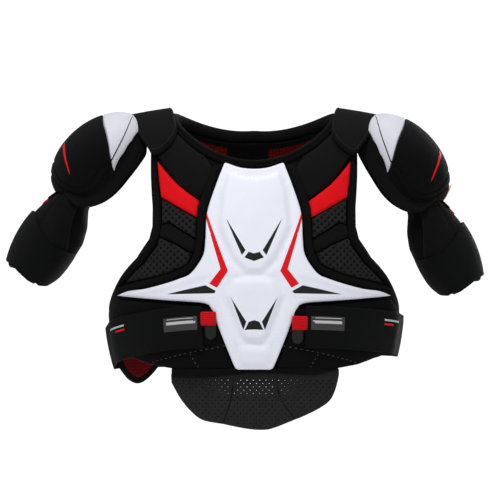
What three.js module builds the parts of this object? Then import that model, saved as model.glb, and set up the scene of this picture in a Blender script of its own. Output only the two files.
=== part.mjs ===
// Ice hockey shoulder pads, in millimetres. +Z is up, the front of the pads faces -Y, the wearer's left is on +X.
// The origin is the middle of the neck opening, level with the top of the wearer's shoulders: the pads hang from there.
// Every soft layer is a plate on one of three surfaces: the torso, a shoulder cap's dome or an arm's sleeve. A plate
// has an outline in its surface's own two coordinates, and lies between two heights above that surface.
import * as THREE from "three";

// ---- Driving dimensions ------------------------------------------------------------------------------------

const SIDES = { right: -1, left: 1 }; // the wearer's right arm is on -X
const ARM_TURN = { right: 0, left: 7 }; // degrees by which a cap and its arm hang lower than the other one
const STRAP_DROP = { right: 30, left: 14 }; // how far a side strap falls from its front end to the side
const WING_BOTTOM = { right: -272, left: -236 }; // lowest edge of a kidney wing, below the arch

const ARCH_Z = -70; // where the chest and back turn into the shoulder arch
const ARCH_RUN = 230; // surface length of that arch, front to back
const ARC_RADIUS = 150; // surface millimetres per radian round the torso

const LINER = [0, 3]; // heights of the layers over the torso surface
const FOAM = [5, 11.5];
const PANEL = [13.5, 18];
const OUTER = [13.5, 21];
const SHIELD = [16.4, 21.5];
const INSERT = [13.2, 14.6];
const BRIDGE = [5, 17];
const FLAP = [20, 27];
const STRAP = [23, 25.5];
const WING = [5, 12];
const ANCHOR = [14, 17];
const BELLY_FLAP = [3, 9];

const NECK_HALF_WIDTH = 106; // to the middle of the collar
const COLLAR_WIDTH = 13;
const COLLAR_THICK = 18;
const COLLAR_HEIGHT = 9;
const COLLAR_GAP = 9; // from the collar's middle to the layers that it binds

const CAP_CENTRE = [206, 0, -42]; // outward, back, up
const CAP_CHORD = 64.4; // half axes of the dome's inside face: seen from the front, along its rim
const CAP_RISE = 39.4; // out along its pole
const CAP_DEPTH = 69.4; // front to back
const CAP_TILT = 49.7; // degrees that the dome's pole points above level
const CAP_LINER = [0, 3];
const CAP_SHELL = [5, 6.8];
const CAP_COVER = [8.8, 10.6];
const CAP_FLANGE = [0, 8];
const FLARE = 0.4; // how fast the flange stands off the dome, in millimetres per degree past its widest line
const CAP_HINGE = [163, 0, 12]; // the cap's laced edge under the shoulder flap

const ARM_TOP = [233, 0, -84];
const ARM_SLANT = 32; // degrees that the arm stands out from vertical
const ARM_LENGTH = 137;
const ARM_LINER = [0, 3];
const ARM_INSERT = [5, 6.6];
const ARM_PAD = [8.6, 13];
const ARM_BAND = [15, 17.2];

const SAG = 2; // the most that a flat facet may leave its curved surface
const CELL = 80; // the longest facet edge
const SHORT_ENOUGH = 24; // no edge this short is divided, however curved the surface

// ---- Surfaces ----------------------------------------------------------------------------------------------

const radians = THREE.MathUtils.degToRad;
const degrees = THREE.MathUtils.radToDeg;

const halfWidth = (z) => 184 - (z > -235 ? 0.00035 : 0.0018) * (z + 235) ** 2;
const frontDepth = (z) => 120 - 0.0011 * (z + 235) ** 2;
const backDepth = (z) => 104 - 0.0009 * (z + 180) ** 2;
const archRise = (x) => 70 - 0.167 * (Math.abs(x) - 115);

// The torso: u runs round the body from the breastbone, v up the front, over the shoulder and down the back.
function torsoPoint(u, v) {
  const turn = u / ARC_RADIUS;
  if (v <= 0) {
    const z = ARCH_Z + v;
    const depth = Math.cos(turn) >= 0 ? frontDepth(z) : backDepth(z);
    return new THREE.Vector3(halfWidth(z) * Math.sin(turn), -depth * Math.cos(turn), z);
  }
  if (v >= ARCH_RUN) {
    const z = ARCH_Z - (v - ARCH_RUN);
    return new THREE.Vector3(halfWidth(z) * Math.sin(turn), backDepth(z) * Math.cos(turn), z);
  }
  const angle = (v / ARCH_RUN) * Math.PI;
  const rise = archRise(halfWidth(ARCH_Z) * Math.sin(turn)) * Math.sin(angle);
  const onFront = angle < Math.PI / 2;
  const depthAt = onFront ? frontDepth : backDepth;
  const slope = depthAt(ARCH_Z) - depthAt(ARCH_Z - 1);
  const depth = (depthAt(ARCH_Z) + slope * rise) * Math.cos(angle);
  const z = ARCH_Z + rise;
  return new THREE.Vector3(halfWidth(z) * Math.sin(turn), -depth * Math.cos(turn), z);
}

// The dome: u and v are degrees from its pole, u towards the front and v towards the neck.
function capPoint(u, v) {
  const away = Math.hypot(u, v, 1e-9);
  const reach = Math.sin(radians(away)) / away;
  const rise = Math.cos(radians(away)) * CAP_RISE;
  const inward = reach * v * CAP_CHORD;
  const tilt = radians(CAP_TILT);
  return new THREE.Vector3(
    CAP_CENTRE[0] + rise * Math.cos(tilt) - inward * Math.sin(tilt),
    CAP_CENTRE[1] - reach * u * CAP_DEPTH,
    CAP_CENTRE[2] + rise * Math.sin(tilt) + inward * Math.cos(tilt),
  );
}

// The sleeve: u is degrees round the arm, 0 outward, 90 front, 180 inward and 270 back; v is millimetres down it.
const sleeveAcross = (v) => 25 - 0.0038 * (v - 85) ** 2;
const sleeveDeep = (v) => 40 - 0.002 * (v - 85) ** 2;
function armPoint(u, v) {
  const slant = radians(ARM_SLANT);
  const across = sleeveAcross(v) * Math.cos(radians(u));
  return new THREE.Vector3(
    ARM_TOP[0] + v * Math.sin(slant) + across * Math.cos(slant),
    ARM_TOP[1] - sleeveDeep(v) * Math.sin(radians(u)),
    ARM_TOP[2] - v * Math.cos(slant) + across * Math.sin(slant),
  );
}

// A surface turns (u, v, height) into a point, height being measured along the surface's outward normal.
function surface(pointAt, facing, step) {
  return (u, v, height) => {
    const alongU = pointAt(u + step, v).sub(pointAt(u - step, v));
    const alongV = pointAt(u, v + step).sub(pointAt(u, v - step));
    const normal = alongU.cross(alongV).normalize().multiplyScalar(facing);
    return pointAt(u, v).addScaledVector(normal, height);
  };
}
const torso = surface(torsoPoint, 1, 0.5);
const cap = surface(capPoint, -1, 0.25);
const arm = surface(armPoint, 1, 0.25);
const flaredCap = (u, v, height) => cap(u, v, height + FLARE * Math.max(0, Math.hypot(u, v) - 105));

// Torso coordinates of a spot seen squarely from the front, or from the back, at a height above the surface.
function seen(x, z, height, fromBack = false) {
  let v = z - ARCH_Z;
  let lean = 1;
  if (v > 0) {
    const share = Math.min(0.99, v / (archRise(x) + height));
    lean = Math.sqrt(1 - share ** 2);
    v = (ARCH_RUN / Math.PI) * Math.asin(share);
  }
  const width = halfWidth(z) + height * lean;
  const u = ARC_RADIUS * Math.asin(Math.min(0.996, Math.abs(x) / width)) * Math.sign(x);
  return [u, fromBack ? ARCH_RUN - v : v];
}

// The same for a spot at the very top of a shoulder.
const onTop = (x) => [ARC_RADIUS * Math.asin(x / halfWidth(ARCH_Z + archRise(x))), ARCH_RUN / 2];

// ---- Outlines ----------------------------------------------------------------------------------------------

// A smooth curve through a few points, for a rounded stretch of an outline.
function bend(points, stepsEach = 3) {
  const curve = new THREE.SplineCurve(points.map(([x, y]) => new THREE.Vector2(x, y)));
  return curve.getPoints((points.length - 1) * stepsEach).map((p) => [p.x, p.y]);
}
const mirrored = (points) => points.map(([x, y]) => [-x, y]).reverse();
const moved = (points, dx, dy) => points.map(([x, y]) => [x + dx, y + dy]);

// ---- Plates ------------------------------------------------------------------------------------------------

// Splits every edge that is too long in half, the same way in both of its triangles, until none is left.
function refined(points, triangles, tooLong) {
  for (;;) {
    const middles = new Map();
    const middleOf = (a, b) => {
      if (!tooLong(points[a], points[b])) return -1;
      const key = a < b ? a + "," + b : b + "," + a;
      if (!middles.has(key)) {
        points.push([(points[a][0] + points[b][0]) / 2, (points[a][1] + points[b][1]) / 2]);
        middles.set(key, points.length - 1);
      }
      return middles.get(key);
    };
    const next = [];
    for (const [a, b, c] of triangles) {
      const corners = [a, b, c];
      const halves = [middleOf(a, b), middleOf(b, c), middleOf(c, a)];
      const split = halves.filter((m) => m >= 0).length;
      if (split === 0) next.push(corners);
      else if (split === 3) {
        const [ab, bc, ca] = halves;
        next.push([a, ab, ca], [ab, b, bc], [ca, bc, c], [ab, bc, ca]);
      } else {
        // Turned so that the first edge is split, and so is the second if two are.
        const first = halves.findIndex((m, i) => m >= 0 && (split === 1 || halves[(i + 1) % 3] >= 0));
        const [p, q, r] = [0, 1, 2].map((i) => corners[(first + i) % 3]);
        const pq = halves[first];
        if (split === 1) next.push([p, pq, r], [pq, q, r]);
        else {
          const qr = halves[(first + 1) % 3];
          next.push([pq, q, qr], [p, pq, qr], [p, qr, r]);
        }
      }
    }
    triangles = next;
    if (!middles.size) return triangles;
  }
}

// Flips the shared edge of two triangles wherever that makes their smallest angle larger.
function relaxed(points, triangles) {
  const turn = (a, b, c) =>
    (points[b][0] - points[a][0]) * (points[c][1] - points[a][1]) -
    (points[b][1] - points[a][1]) * (points[c][0] - points[a][0]);
  const angle = (at, b, c) => {
    const [bx, by] = [points[b][0] - points[at][0], points[b][1] - points[at][1]];
    const [cx, cy] = [points[c][0] - points[at][0], points[c][1] - points[at][1]];
    return Math.acos((bx * cx + by * cy) / (Math.hypot(bx, by) * Math.hypot(cx, cy)));
  };
  for (let pass = 0; pass < 8; pass++) {
    const owners = new Map();
    triangles.forEach((t, i) =>
      [0, 1, 2].forEach((k) => {
        const [a, b] = [t[k], t[(k + 1) % 3]];
        const key = a < b ? a + "," + b : b + "," + a;
        owners.set(key, [...(owners.get(key) || []), [i, t[(k + 2) % 3], a, b]]);
      }),
    );
    const touched = new Set();
    for (const pair of owners.values()) {
      if (pair.length !== 2) continue;
      const [[i, p, a, b], [j, q]] = pair;
      if (touched.has(i) || touched.has(j)) continue;
      if (angle(p, a, b) + angle(q, a, b) <= Math.PI + 1e-6) continue;
      const area = 1e-3;
      if (Math.abs(turn(a, q, p)) < area || Math.abs(turn(q, b, p)) < area) continue;
      if (turn(a, q, p) * turn(q, b, p) <= 0) continue;
      triangles[i] = [a, q, p];
      triangles[j] = [q, b, p];
      touched.add(i).add(j);
    }
    if (!touched.size) break;
  }
  return triangles;
}

// One closed solid on a surface, inside an outline and between two heights.
function plate(onSurface, outline, [low, high], sag = SAG) {
  const points = [...outline];
  let triangles = THREE.ShapeUtils.triangulateShape(points.map(([x, y]) => new THREE.Vector2(x, y)), []);
  const tooLong = ([ua, va], [ub, vb]) => {
    const [a, b] = [onSurface(ua, va, high), onSurface(ub, vb, high)];
    const middle = onSurface((ua + ub) / 2, (va + vb) / 2, high);
    const length = a.distanceTo(b);
    return length > CELL || (length > SHORT_ENOUGH && middle.distanceTo(a.add(b).multiplyScalar(0.5)) > sag);
  };
  triangles = refined(points, relaxed(points, triangles), tooLong);
  triangles = refined(points, relaxed(points, triangles), tooLong);

  const count = points.length;
  const position = [];
  for (const height of [low, high])
    for (const [u, v] of points) position.push(...onSurface(u, v, height).toArray());
  const index = [];
  const open = new Map();
  for (const corners of triangles) {
    const [a, b, c] = corners;
    index.push(a + count, b + count, c + count);
    index.push(a, c, b);
    corners.forEach((from, i) => {
      const to = corners[(i + 1) % 3];
      if (!open.delete(to + "," + from)) open.set(from + "," + to, [from, to]);
    });
  }
  for (const [a, b] of open.values()) index.push(a, b, b + count, a, b + count, a + count);
  return solid(position, index);
}

// A band swept along a path: each step gives the section's middle and its two half axes.
function sweep(steps, sides) {
  const position = [];
  for (const { at, across, out } of steps)
    for (let k = 0; k < sides; k++) {
      const angle = (2 * Math.PI * (k + 0.5)) / sides;
      const point = at.clone().addScaledVector(across, Math.cos(angle)).addScaledVector(out, Math.sin(angle));
      position.push(...point.toArray());
    }
  const index = [];
  const last = (steps.length - 1) * sides;
  for (let ring = 0; ring < last; ring += sides)
    for (let k = 0; k < sides; k++) {
      const [a, b] = [ring + k, ring + ((k + 1) % sides)];
      index.push(a, b, b + sides, a, b + sides, a + sides);
    }
  for (let k = 1; k < sides - 1; k++) index.push(0, k + 1, k, last, last + k, last + k + 1);
  return solid(position, index);
}

// The geometry of a closed mesh, with its faces turned out.
function solid(position, index) {
  const corner = (i) => new THREE.Vector3().fromArray(position, index[i] * 3);
  let volume = 0;
  for (let i = 0; i < index.length; i += 3) volume += corner(i).dot(corner(i + 1).cross(corner(i + 2)));
  if (volume < 0) index.reverse();
  const geometry = new THREE.BufferGeometry();
  geometry.setAttribute("position", new THREE.Float32BufferAttribute(position, 3));
  geometry.setIndex(index);
  geometry.computeVertexNormals();
  return geometry;
}

// ---- Materials and the assembly ----------------------------------------------------------------------------

const material = (color, roughness, metalness = 0) =>
  new THREE.MeshStandardMaterial({ color, roughness, metalness, side: THREE.DoubleSide });
const BLACK_KNIT = material(0x171618, 0.85);
const BLACK_FOAM = material(0x101011, 0.9);
const BLACK_MESH = material(0x232122, 0.8);
const BLACK_ELASTIC = material(0x0f1010, 0.75);
const BLACK_SHELL = material(0x1c1b1d, 0.5);
const WHITE_SKIN = material(0xe3e5f2, 0.45);
const RED_KNIT = material(0xd60a12, 0.7);
const RED_LINER = material(0x8d0810, 0.9);
const CLEAR_PE = material(0xd8dad6, 0.4);

const pads = new THREE.Group();

function add(group, name, geometry, look) {
  const mesh = new THREE.Mesh(geometry, look);
  mesh.name = name;
  group.add(mesh);
  return mesh;
}

// A group that turns what is added to it about a line along Y through a point, and lets it be made unturned.
function hung(sign, [x, , z], turnDegrees) {
  const pivot = new THREE.Group();
  pivot.position.set(sign * x, 0, z);
  pivot.rotation.y = sign * radians(turnDegrees);
  const inside = new THREE.Group();
  inside.position.set(-sign * x, 0, -z);
  pivot.add(inside);
  pads.add(pivot);
  return inside;
}

const onSide = (surfaceOf, sign) => (u, v, height) => {
  const point = surfaceOf(u, v, height);
  point.x *= sign;
  return point;
};

// ---- Front of the torso ------------------------------------------------------------------------------------

// Seen from the front, x outward from the breastbone.
const ARMHOLE = [
  [141, -37], [141, -71], [138, -111], [138, -135], [142, -151], [158, -175], [178, -198], [190, -222],
];
const WING_TOP = [[67, -152], [70, -174], [86, -196], [113, -206], [147, -214], [186, -226]];
const STERNUM_SIDE = [[42, -56], [54, -86], [65, -119], [67, -152]];
const HEM_Z = -326;
const FRONT_SPLIT = 62; // v where the front layers end and the shoulder bridge begins
const BACK_SPLIT = 154; // v where it ends and the back layers begin

const atHeight = (points, height, fromBack) => points.map(([x, z]) => seen(x, z, height, fromBack));

// The middle of the collar: 0 degrees is the front, 180 the back. It rises over both shoulders.
function collarAt(turnDegrees) {
  const turn = radians(turnDegrees);
  const angle = 80 - (Math.cos(turn) > 0 ? 71.6 : 63) * Math.cos(turn);
  const x = NECK_HALF_WIDTH * Math.sin(turn);
  const width = halfWidth(ARCH_Z + archRise(x) * Math.sin(radians(angle)));
  return [ARC_RADIUS * Math.asin(x / width), (angle / 180) * ARCH_RUN];
}

// The edge of the layers that the collar binds.
function neckEdge(from, to, gap = COLLAR_GAP, count = 7) {
  return Array.from({ length: count }, (_, i) => {
    const turn = from + ((to - from) * i) / (count - 1);
    const [u, v] = collarAt(turn);
    const [u1, v1] = collarAt(turn + 1);
    const length = Math.hypot(u1 - u, v1 - v);
    return [u + (gap * (v1 - v)) / length, v - (gap * (u1 - u)) / length];
  });
}

function sternum() {
  const half = [
    ...STERNUM_SIDE,
    ...bend(WING_TOP, 2).slice(1),
    ...bend([[186, -226], [121, -231], [74, -234], [62, -237]], 2).slice(1),
    [58, -243], [28, -316],
  ];
  const whole = [[0, -65], ...half, ...mirrored(half)];
  add(pads, "sternum_plate", plate(torso, atHeight(whole, SHIELD[1]), SHIELD, 0.7), WHITE_SKIN);
  const inner = [[34, -72], [50, -118], [48, -170], [40, -200], [34, -250], [22, -300]];
  const insert = atHeight([...inner, ...mirrored(inner)], INSERT[1]);
  add(pads, "sternum_insert", plate(torso, insert, INSERT, 0.7), CLEAR_PE);
}

// The foam body, and its liner inside it with an edge a little further in.
function frontLayers() {
  const shape = (inset, height) => {
    const side = [
      ...ARMHOLE, [196, -240], [198, -262], [194, -288], [174, -303], [140, -314 + inset], [110, HEM_Z + inset],
    ];
    const half = [
      ...neckEdge(0, 63, COLLAR_GAP + inset / 2),
      [onTop(142 - inset)[0], FRONT_SPLIT],
      ...atHeight(side.map(([x, z]) => [x - inset, z]), height),
    ];
    return [...half, ...mirrored(half.slice(1))];
  };
  add(pads, "front_foam", plate(torso, shape(0, FOAM[1]), FOAM), BLACK_FOAM);
  add(pads, "front_liner", plate(torso, shape(4, LINER[1]), LINER), RED_LINER);
}

function chestPanels(sideName, sign) {
  const onThisSide = onSide(torso, sign);
  const make = (name, look, outline) =>
    add(pads, `${name}_${sideName}`, plate(onThisSide, outline, PANEL), look);
  const shape = (points) => atHeight(points, PANEL[1]);

  make("chest_panel", BLACK_KNIT, [
    ...neckEdge(34, 63, COLLAR_GAP + 1), [onTop(139)[0], FRONT_SPLIT],
    ...shape([[132, -44], [126, -54], [104, -82], [76, -102], [62, -66]]),
  ]);
  make("red_inset", RED_KNIT, shape([[133, -51], [105, -84], [79, -104], [82, -124], [127, -98], [132, -62]]));
  make("upper_mesh", BLACK_MESH, shape([[125, -101], [82, -126], [84, -165], [128, -148], [125, -136]]));
  make("lower_mesh", BLACK_MESH, shape([
    [126, -154], [86, -170], ...bend([[92, -184], [122, -196], [152, -202], [168, -206]], 2),
    [145, -183], [130, -163],
  ]));

  // The raised black band between the white plate and the chest, down to the tip of the plate's wing.
  const inner = [[46, -60], [57, -88], [68, -119.5], [70, -152], ...moved(bend(WING_TOP, 2).slice(2), 3, 3)];
  const outer = [[58, -62], [67, -84], [77, -112], [79, -152], ...bend([[82, -172], [92, -187], [122, -199],
    [160, -207], [184, -215]], 2)];
  make("plate_band", BLACK_KNIT, shape([...inner, ...outer.reverse()]));

  const inside = [[135, -48], [134, -71], [129, -106], [129, -136], [132, -153], [149, -179], [168, -197],
    [180, -209]];
  make("armhole_binding", BLACK_KNIT, shape([...ARMHOLE.slice(1), ...inside.reverse()]));

  make("waist_panel", BLACK_ELASTIC, shape([
    [66, -241], [121, -236], [182, -231], [188, -242], [190, -262], [184, -288], [166, -302], [140, -312],
    [112, -317], [31, -317],
  ]));
}

function hemBinding() {
  const low = [[-112, HEM_Z - 6], [-60, HEM_Z - 3], [0, HEM_Z + 1], [60, HEM_Z - 1], [114, HEM_Z + 2]];
  const high = [[114, -319], [31, -319], [0, -318], [-31, -319], [-112, -319]];
  add(pads, "hem_binding", plate(torso, atHeight([...low, ...high], PANEL[1]), PANEL), BLACK_KNIT);
}

// ---- Collar and shoulders ----------------------------------------------------------------------------------

function collarHalf(name, from, to) {
  const count = 13;
  const steps = Array.from({ length: count }, (_, i) => {
    const turn = from + ((to - from) * i) / (count - 1);
    const [u, v] = collarAt(turn);
    const at = torso(u, v, COLLAR_HEIGHT);
    const out = at.clone().sub(torso(u, v, 0)).normalize();
    const along = torso(...collarAt(turn + 1), COLLAR_HEIGHT).sub(torso(...collarAt(turn - 1), COLLAR_HEIGHT));
    const across = along.normalize().cross(out).multiplyScalar(COLLAR_WIDTH / 2);
    return { at, across, out: out.multiplyScalar(COLLAR_THICK / 2) };
  });
  add(pads, name, sweep(steps, 8), BLACK_KNIT);
}

// The padded bridge over the shoulder, and the flap on it that lies loose over the cap's edge.
function shoulder(sideName, sign) {
  const onThisSide = onSide(torso, sign);
  const gap = 1.5;
  const bridge = [
    ...neckEdge(66, 122), [onTop(142)[0], BACK_SPLIT - gap], onTop(148), [onTop(144)[0], FRONT_SPLIT + gap],
  ];
  add(pads, `shoulder_bridge_${sideName}`, plate(onThisSide, bridge, BRIDGE), BLACK_FOAM);

  const front = atHeight([[109, -10], [118, -27], [137, -40], [145, -30], [151, -8]], FLAP[1]);
  const back = front.map(([u, v]) => [u, ARCH_RUN - v]);
  const flap = [...front, onTop(151), ...back.reverse(), onTop(118)];
  add(pads, `shoulder_flap_${sideName}`, plate(onThisSide, flap, FLAP), BLACK_KNIT);
}

// ---- Back of the torso -------------------------------------------------------------------------------------

function backLayers() {
  const shape = (inset, height) => {
    const side = [[142, -37], [140, -90], [136, -140], [128, -172], [104, -186], [102, -296], [60, -310]];
    const half = [
      ...neckEdge(180, 126, COLLAR_GAP + inset / 2),
      [onTop(140 - inset)[0], BACK_SPLIT],
      ...atHeight(side.map(([x, z]) => [x - inset, z + (z < -250 ? inset : 0)]), height, true),
    ];
    return [...half, ...mirrored(half.slice(1))];
  };
  add(pads, "back_foam", plate(torso, shape(0, FOAM[1]), FOAM), BLACK_FOAM);
  add(pads, "back_liner", plate(torso, shape(4, LINER[1]), LINER), RED_LINER);
}

function backPanels(sideName, sign) {
  const onThisSide = onSide(torso, sign);
  const scapula = [[44, -52], [66, -50], [84, -46], [134, -46], [132, -70], [128, -130], [110, -168], [44, -186]];
  add(pads, `scapula_pad_${sideName}`, plate(onThisSide, atHeight(scapula, OUTER[1], true), OUTER), BLACK_KNIT);
  const loin = [[44, -190], [96, -184], [98, -292], [58, -304], [44, -306]];
  add(pads, `loin_pad_${sideName}`, plate(onThisSide, atHeight(loin, OUTER[1], true), OUTER), BLACK_MESH);
}

// The spine guard is stiff foam with a flat hard plate on it, the rearmost thing on the pads.
const SPINE_PLATE = { width: 54, height: 150, corner: 12, thick: 3.4, z: -170, y: 127 };
function spine() {
  const half = [[34, -50], [40, -62], [40, -296], [30, -310]];
  const guard = [...half, ...mirrored(half)];
  add(pads, "spine_guard", plate(torso, atHeight(guard, OUTER[1], true), OUTER), BLACK_FOAM);
  const { width, height, corner, thick, z, y } = SPINE_PLATE;
  const quarter = [[width / 2 - corner, height / 2], [width / 2, height / 2 - corner]];
  const right = [...quarter, ...quarter.map(([px, py]) => [px, -py]).reverse()];
  const shape = new THREE.Shape([...right, ...mirrored(right)].map(([px, py]) => new THREE.Vector2(px, py)));
  const geometry = new THREE.ExtrudeGeometry(shape, { depth: thick, bevelEnabled: false });
  const mesh = add(pads, "spine_plate", geometry, BLACK_SHELL);
  mesh.rotation.x = Math.PI / 2;
  mesh.position.set(0, y + thick, z);
}

// ---- Kidney wings and side straps --------------------------------------------------------------------------

const roundTo = (turnDegrees) => ARC_RADIUS * radians(turnDegrees); // u of an angle round the torso from the front

function wing(sideName, sign) {
  const onThisSide = onSide(torso, sign);
  const low = WING_BOTTOM[sideName];
  const top = -168;
  const outline = [
    [roundTo(143), top + 12], [roundTo(110), top + 4], [roundTo(92), top - 8], [roundTo(92), low + 36],
    ...bend([[roundTo(97), low + 18], [roundTo(106), low + 4], [roundTo(115), low], [roundTo(126), low + 10],
      [roundTo(136), low + 28]], 2),
    [roundTo(143), low + 34],
  ];
  add(pads, `wing_pad_${sideName}`, plate(onThisSide, outline, WING), BLACK_KNIT);
}

// A stretch of the strap, as wide as it is high. Its middle is level in front, then falls towards the side.
const STRAP_BREADTH = 52;
function strapPiece(sideName, fromDegrees, toDegrees) {
  const drop = STRAP_DROP[sideName];
  const count = 4;
  const middle = Array.from({ length: count + 1 }, (_, i) => {
    const turn = fromDegrees + ((toDegrees - fromDegrees) * i) / count;
    return [roundTo(turn), -194 - drop * THREE.MathUtils.clamp((turn - 22) / 66, 0, 1) ** 1.4];
  });
  return [...moved(middle, 0, -STRAP_BREADTH / 2), ...moved(middle, 0, STRAP_BREADTH / 2).reverse()];
}

function sideStrap(sideName, sign) {
  // The strap comes down off the waist panel towards the side.
  const overPanel = (u, v, height) => {
    const share = THREE.MathUtils.smoothstep(degrees(u / ARC_RADIUS), 64, 80);
    return torso(u, v, height - 8 * share);
  };
  const strap = plate(onSide(overPanel, sign), strapPiece(sideName, 22, 92), STRAP);
  add(pads, `side_strap_${sideName}`, strap, BLACK_ELASTIC);
  const anchor = plate(onSide(torso, sign), strapPiece(sideName, 95, 138), ANCHOR);
  add(pads, `strap_anchor_${sideName}`, anchor, BLACK_ELASTIC);
}

// ---- Belly flap --------------------------------------------------------------------------------------------

function bellyFlap() {
  const half = [[0, -328], [60, -333], [111, -338], ...bend([[109, -350], [97, -366], [78, -382], [42, -396],
    [0, -401]], 2)];
  const whole = [...half, ...mirrored(half.slice(1, -1))];
  add(pads, "belly_flap", plate(torso, atHeight(whole, BELLY_FLAP[1]), BELLY_FLAP), BLACK_MESH);
}

// ---- Shoulder caps -----------------------------------------------------------------------------------------

// Front halves of outlines on the dome, in degrees: first towards the front, then towards the neck.
const CAP_RIM = [[0, 73], [25, 76], [54, 77], [96, 53], [124, 4], [117, -54], [84, -95], [62, -90], [32, -84],
  [0, -86]];
const CROWN = [[0, 73], [25, 76], [54, 77], [96, 53], [122, 9], [79, 26], [40, 32], [0, 35]];
const COVER = [[0, 33], [40, 30], [79, 24], [123, 5], [117, -54], [84, -95], [62, -90], [32, -84], [0, -86]];
const FLANGE = [[0, 77], [40, 83], [78, 84], [110, 62], [146, 25], [150, -10], [138, -62], [104, -112],
  [78, -106], [40, -97]];
const bothHalves = (half) => [...half, ...half.slice(1, -1).map(([u, v]) => [-u, v]).reverse()];
const scaled = (outline, share) => outline.map(([u, v]) => [u * share, v * share]);

// The flange runs round the rim from one side of the outer end to the other, and leaves that end open.
function flangeOutline() {
  const around = (half) => [...half, ...half.slice(1).map(([u, v]) => [-u, v])].sort(
    (a, b) => Math.atan2(a[0], a[1]) - Math.atan2(b[0], b[1]));
  return [...around(FLANGE), ...around(scaled(CAP_RIM.slice(0, -1), 1.03)).reverse()];
}

function shoulderCap(sideName, sign) {
  const inside = hung(sign, CAP_HINGE, ARM_TURN[sideName]);
  const make = (name, onDome, outline, heights, look) =>
    add(inside, `${name}_${sideName}`, plate(onSide(onDome, sign), outline, heights), look);
  make("cap_liner", cap, bothHalves(scaled(CAP_RIM, 0.94)), CAP_LINER, BLACK_FOAM);
  make("cap_shell", cap, bothHalves(scaled(CAP_RIM, 0.97)), CAP_SHELL, CLEAR_PE);
  make("cap_cover", cap, bothHalves(COVER), CAP_COVER, BLACK_KNIT);
  make("cap_crown", cap, bothHalves(CROWN), CAP_COVER, WHITE_SKIN);
  make("cap_flange", flaredCap, flangeOutline(), CAP_FLANGE, BLACK_FOAM);
}

// ---- Arms --------------------------------------------------------------------------------------------------

// Outlines on the sleeve: degrees round it from the outside towards the front, then millimetres down it.
const PAD_TOP = [[-116, 30], [-90, 29], [-50, 25], [0, 24], [50, 25], [90, 29], [130, 24], [152, 22]];
function armGuard(sideName, sign) {
  const inside = hung(sign, CAP_HINGE, ARM_TURN[sideName]);
  const make = (name, outline, heights, look) =>
    add(inside, `${name}_${sideName}`, plate(onSide(arm, sign), outline, heights), look);
  make("arm_liner", [[-112, 36], [0, 30], [148, 36], [148, 118], [60, 130], [-60, 130], [-112, 118]],
    ARM_LINER, BLACK_FOAM);
  make("arm_insert", [[-78, 44], [78, 44], [78, 112], [40, 122], [-40, 122], [-78, 112]], ARM_INSERT, CLEAR_PE);
  make("arm_pad", [...PAD_TOP, [156, 96], [140, 118], [60, ARM_LENGTH - 6], [0, ARM_LENGTH],
    [-60, ARM_LENGTH - 6], [-116, 118]], ARM_PAD, BLACK_KNIT);
  make("arm_band", [[-160, 72], [-40, 60], [20, 60], [75, 84], [100, 84], [186, 74], [186, 124], [100, 132],
    [-100, 132], [-160, 124]], ARM_BAND, BLACK_ELASTIC);
  make("arm_hanger", [[-24, 16], [24, 16], [22, 22.5], [-22, 22.5]], ARM_PAD, RED_KNIT);
}

// ---- Assembly ----------------------------------------------------------------------------------------------

frontLayers();
sternum();
hemBinding();
collarHalf("collar_front", -86, 86);
collarHalf("collar_back", 94, 266);
backLayers();
spine();
bellyFlap();
for (const [sideName, sign] of Object.entries(SIDES)) {
  chestPanels(sideName, sign);
  shoulder(sideName, sign);
  backPanels(sideName, sign);
  wing(sideName, sign);
  sideStrap(sideName, sign);
  shoulderCap(sideName, sign);
  armGuard(sideName, sign);
}

export default pads;
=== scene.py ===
"""The looks of the ice hockey shoulder pads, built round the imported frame.

Sizes are in millimetres, apart from the lights, the camera and the lines that a blend runs between. +Z is
up, the front faces -Y, and the wearer's left is on +X. Every soft layer lies on one of three surfaces: the
torso, a shoulder cap's dome or an arm's sleeve. Pairs are made once, as the +X piece, and then mirrored.
"""

import math
from collections import namedtuple

import bmesh
import bpy
import numpy as np
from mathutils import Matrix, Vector
from mathutils.geometry import delaunay_2d_cdt


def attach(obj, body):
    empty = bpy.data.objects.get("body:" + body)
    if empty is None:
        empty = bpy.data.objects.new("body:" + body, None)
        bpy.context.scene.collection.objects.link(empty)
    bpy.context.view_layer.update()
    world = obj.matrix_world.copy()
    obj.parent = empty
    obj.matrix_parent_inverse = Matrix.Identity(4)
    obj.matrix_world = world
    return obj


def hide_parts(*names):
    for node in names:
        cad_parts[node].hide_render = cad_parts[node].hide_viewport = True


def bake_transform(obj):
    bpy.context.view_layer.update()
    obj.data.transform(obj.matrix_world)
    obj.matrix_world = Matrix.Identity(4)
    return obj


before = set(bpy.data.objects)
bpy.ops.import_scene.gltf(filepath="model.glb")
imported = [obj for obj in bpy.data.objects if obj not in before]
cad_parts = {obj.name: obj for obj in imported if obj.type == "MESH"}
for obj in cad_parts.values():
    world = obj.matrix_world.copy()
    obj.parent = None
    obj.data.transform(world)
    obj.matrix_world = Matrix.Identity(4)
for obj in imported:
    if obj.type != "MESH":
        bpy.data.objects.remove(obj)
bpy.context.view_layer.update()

# ---- Driving dimensions -------------------------------------------------------------------------

MM = 0.001
SIDES = {"right": -1, "left": 1}  # the wearer's right arm is on -X
ARM_TURN = {"right": 0, "left": 7}  # degrees by which a cap and its arm hang lower than the other one
STRAP_DROP = {"right": 30, "left": 14}
WING_BOTTOM = {"right": -272, "left": -236}

WAIST_Z = -235  # the widest level, where these two are measured
WAIST_HALF_WIDTH = 184
WAIST_DEPTH = 120
BLADE_Z = -180  # the back's deepest level
BLADE_DEPTH = 104

ARCH_Z = -70  # where the chest and back turn into the shoulder arch
ARCH_RUN = 230  # surface length of that arch, front to back
ARCH_HEIGHT = 70  # beside the neck
ARCH_FOOT = 115  # how far out that is
SHOULDER_SLOPE = 0.167
ARC_RADIUS = 150  # surface millimetres per radian round the torso

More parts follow.
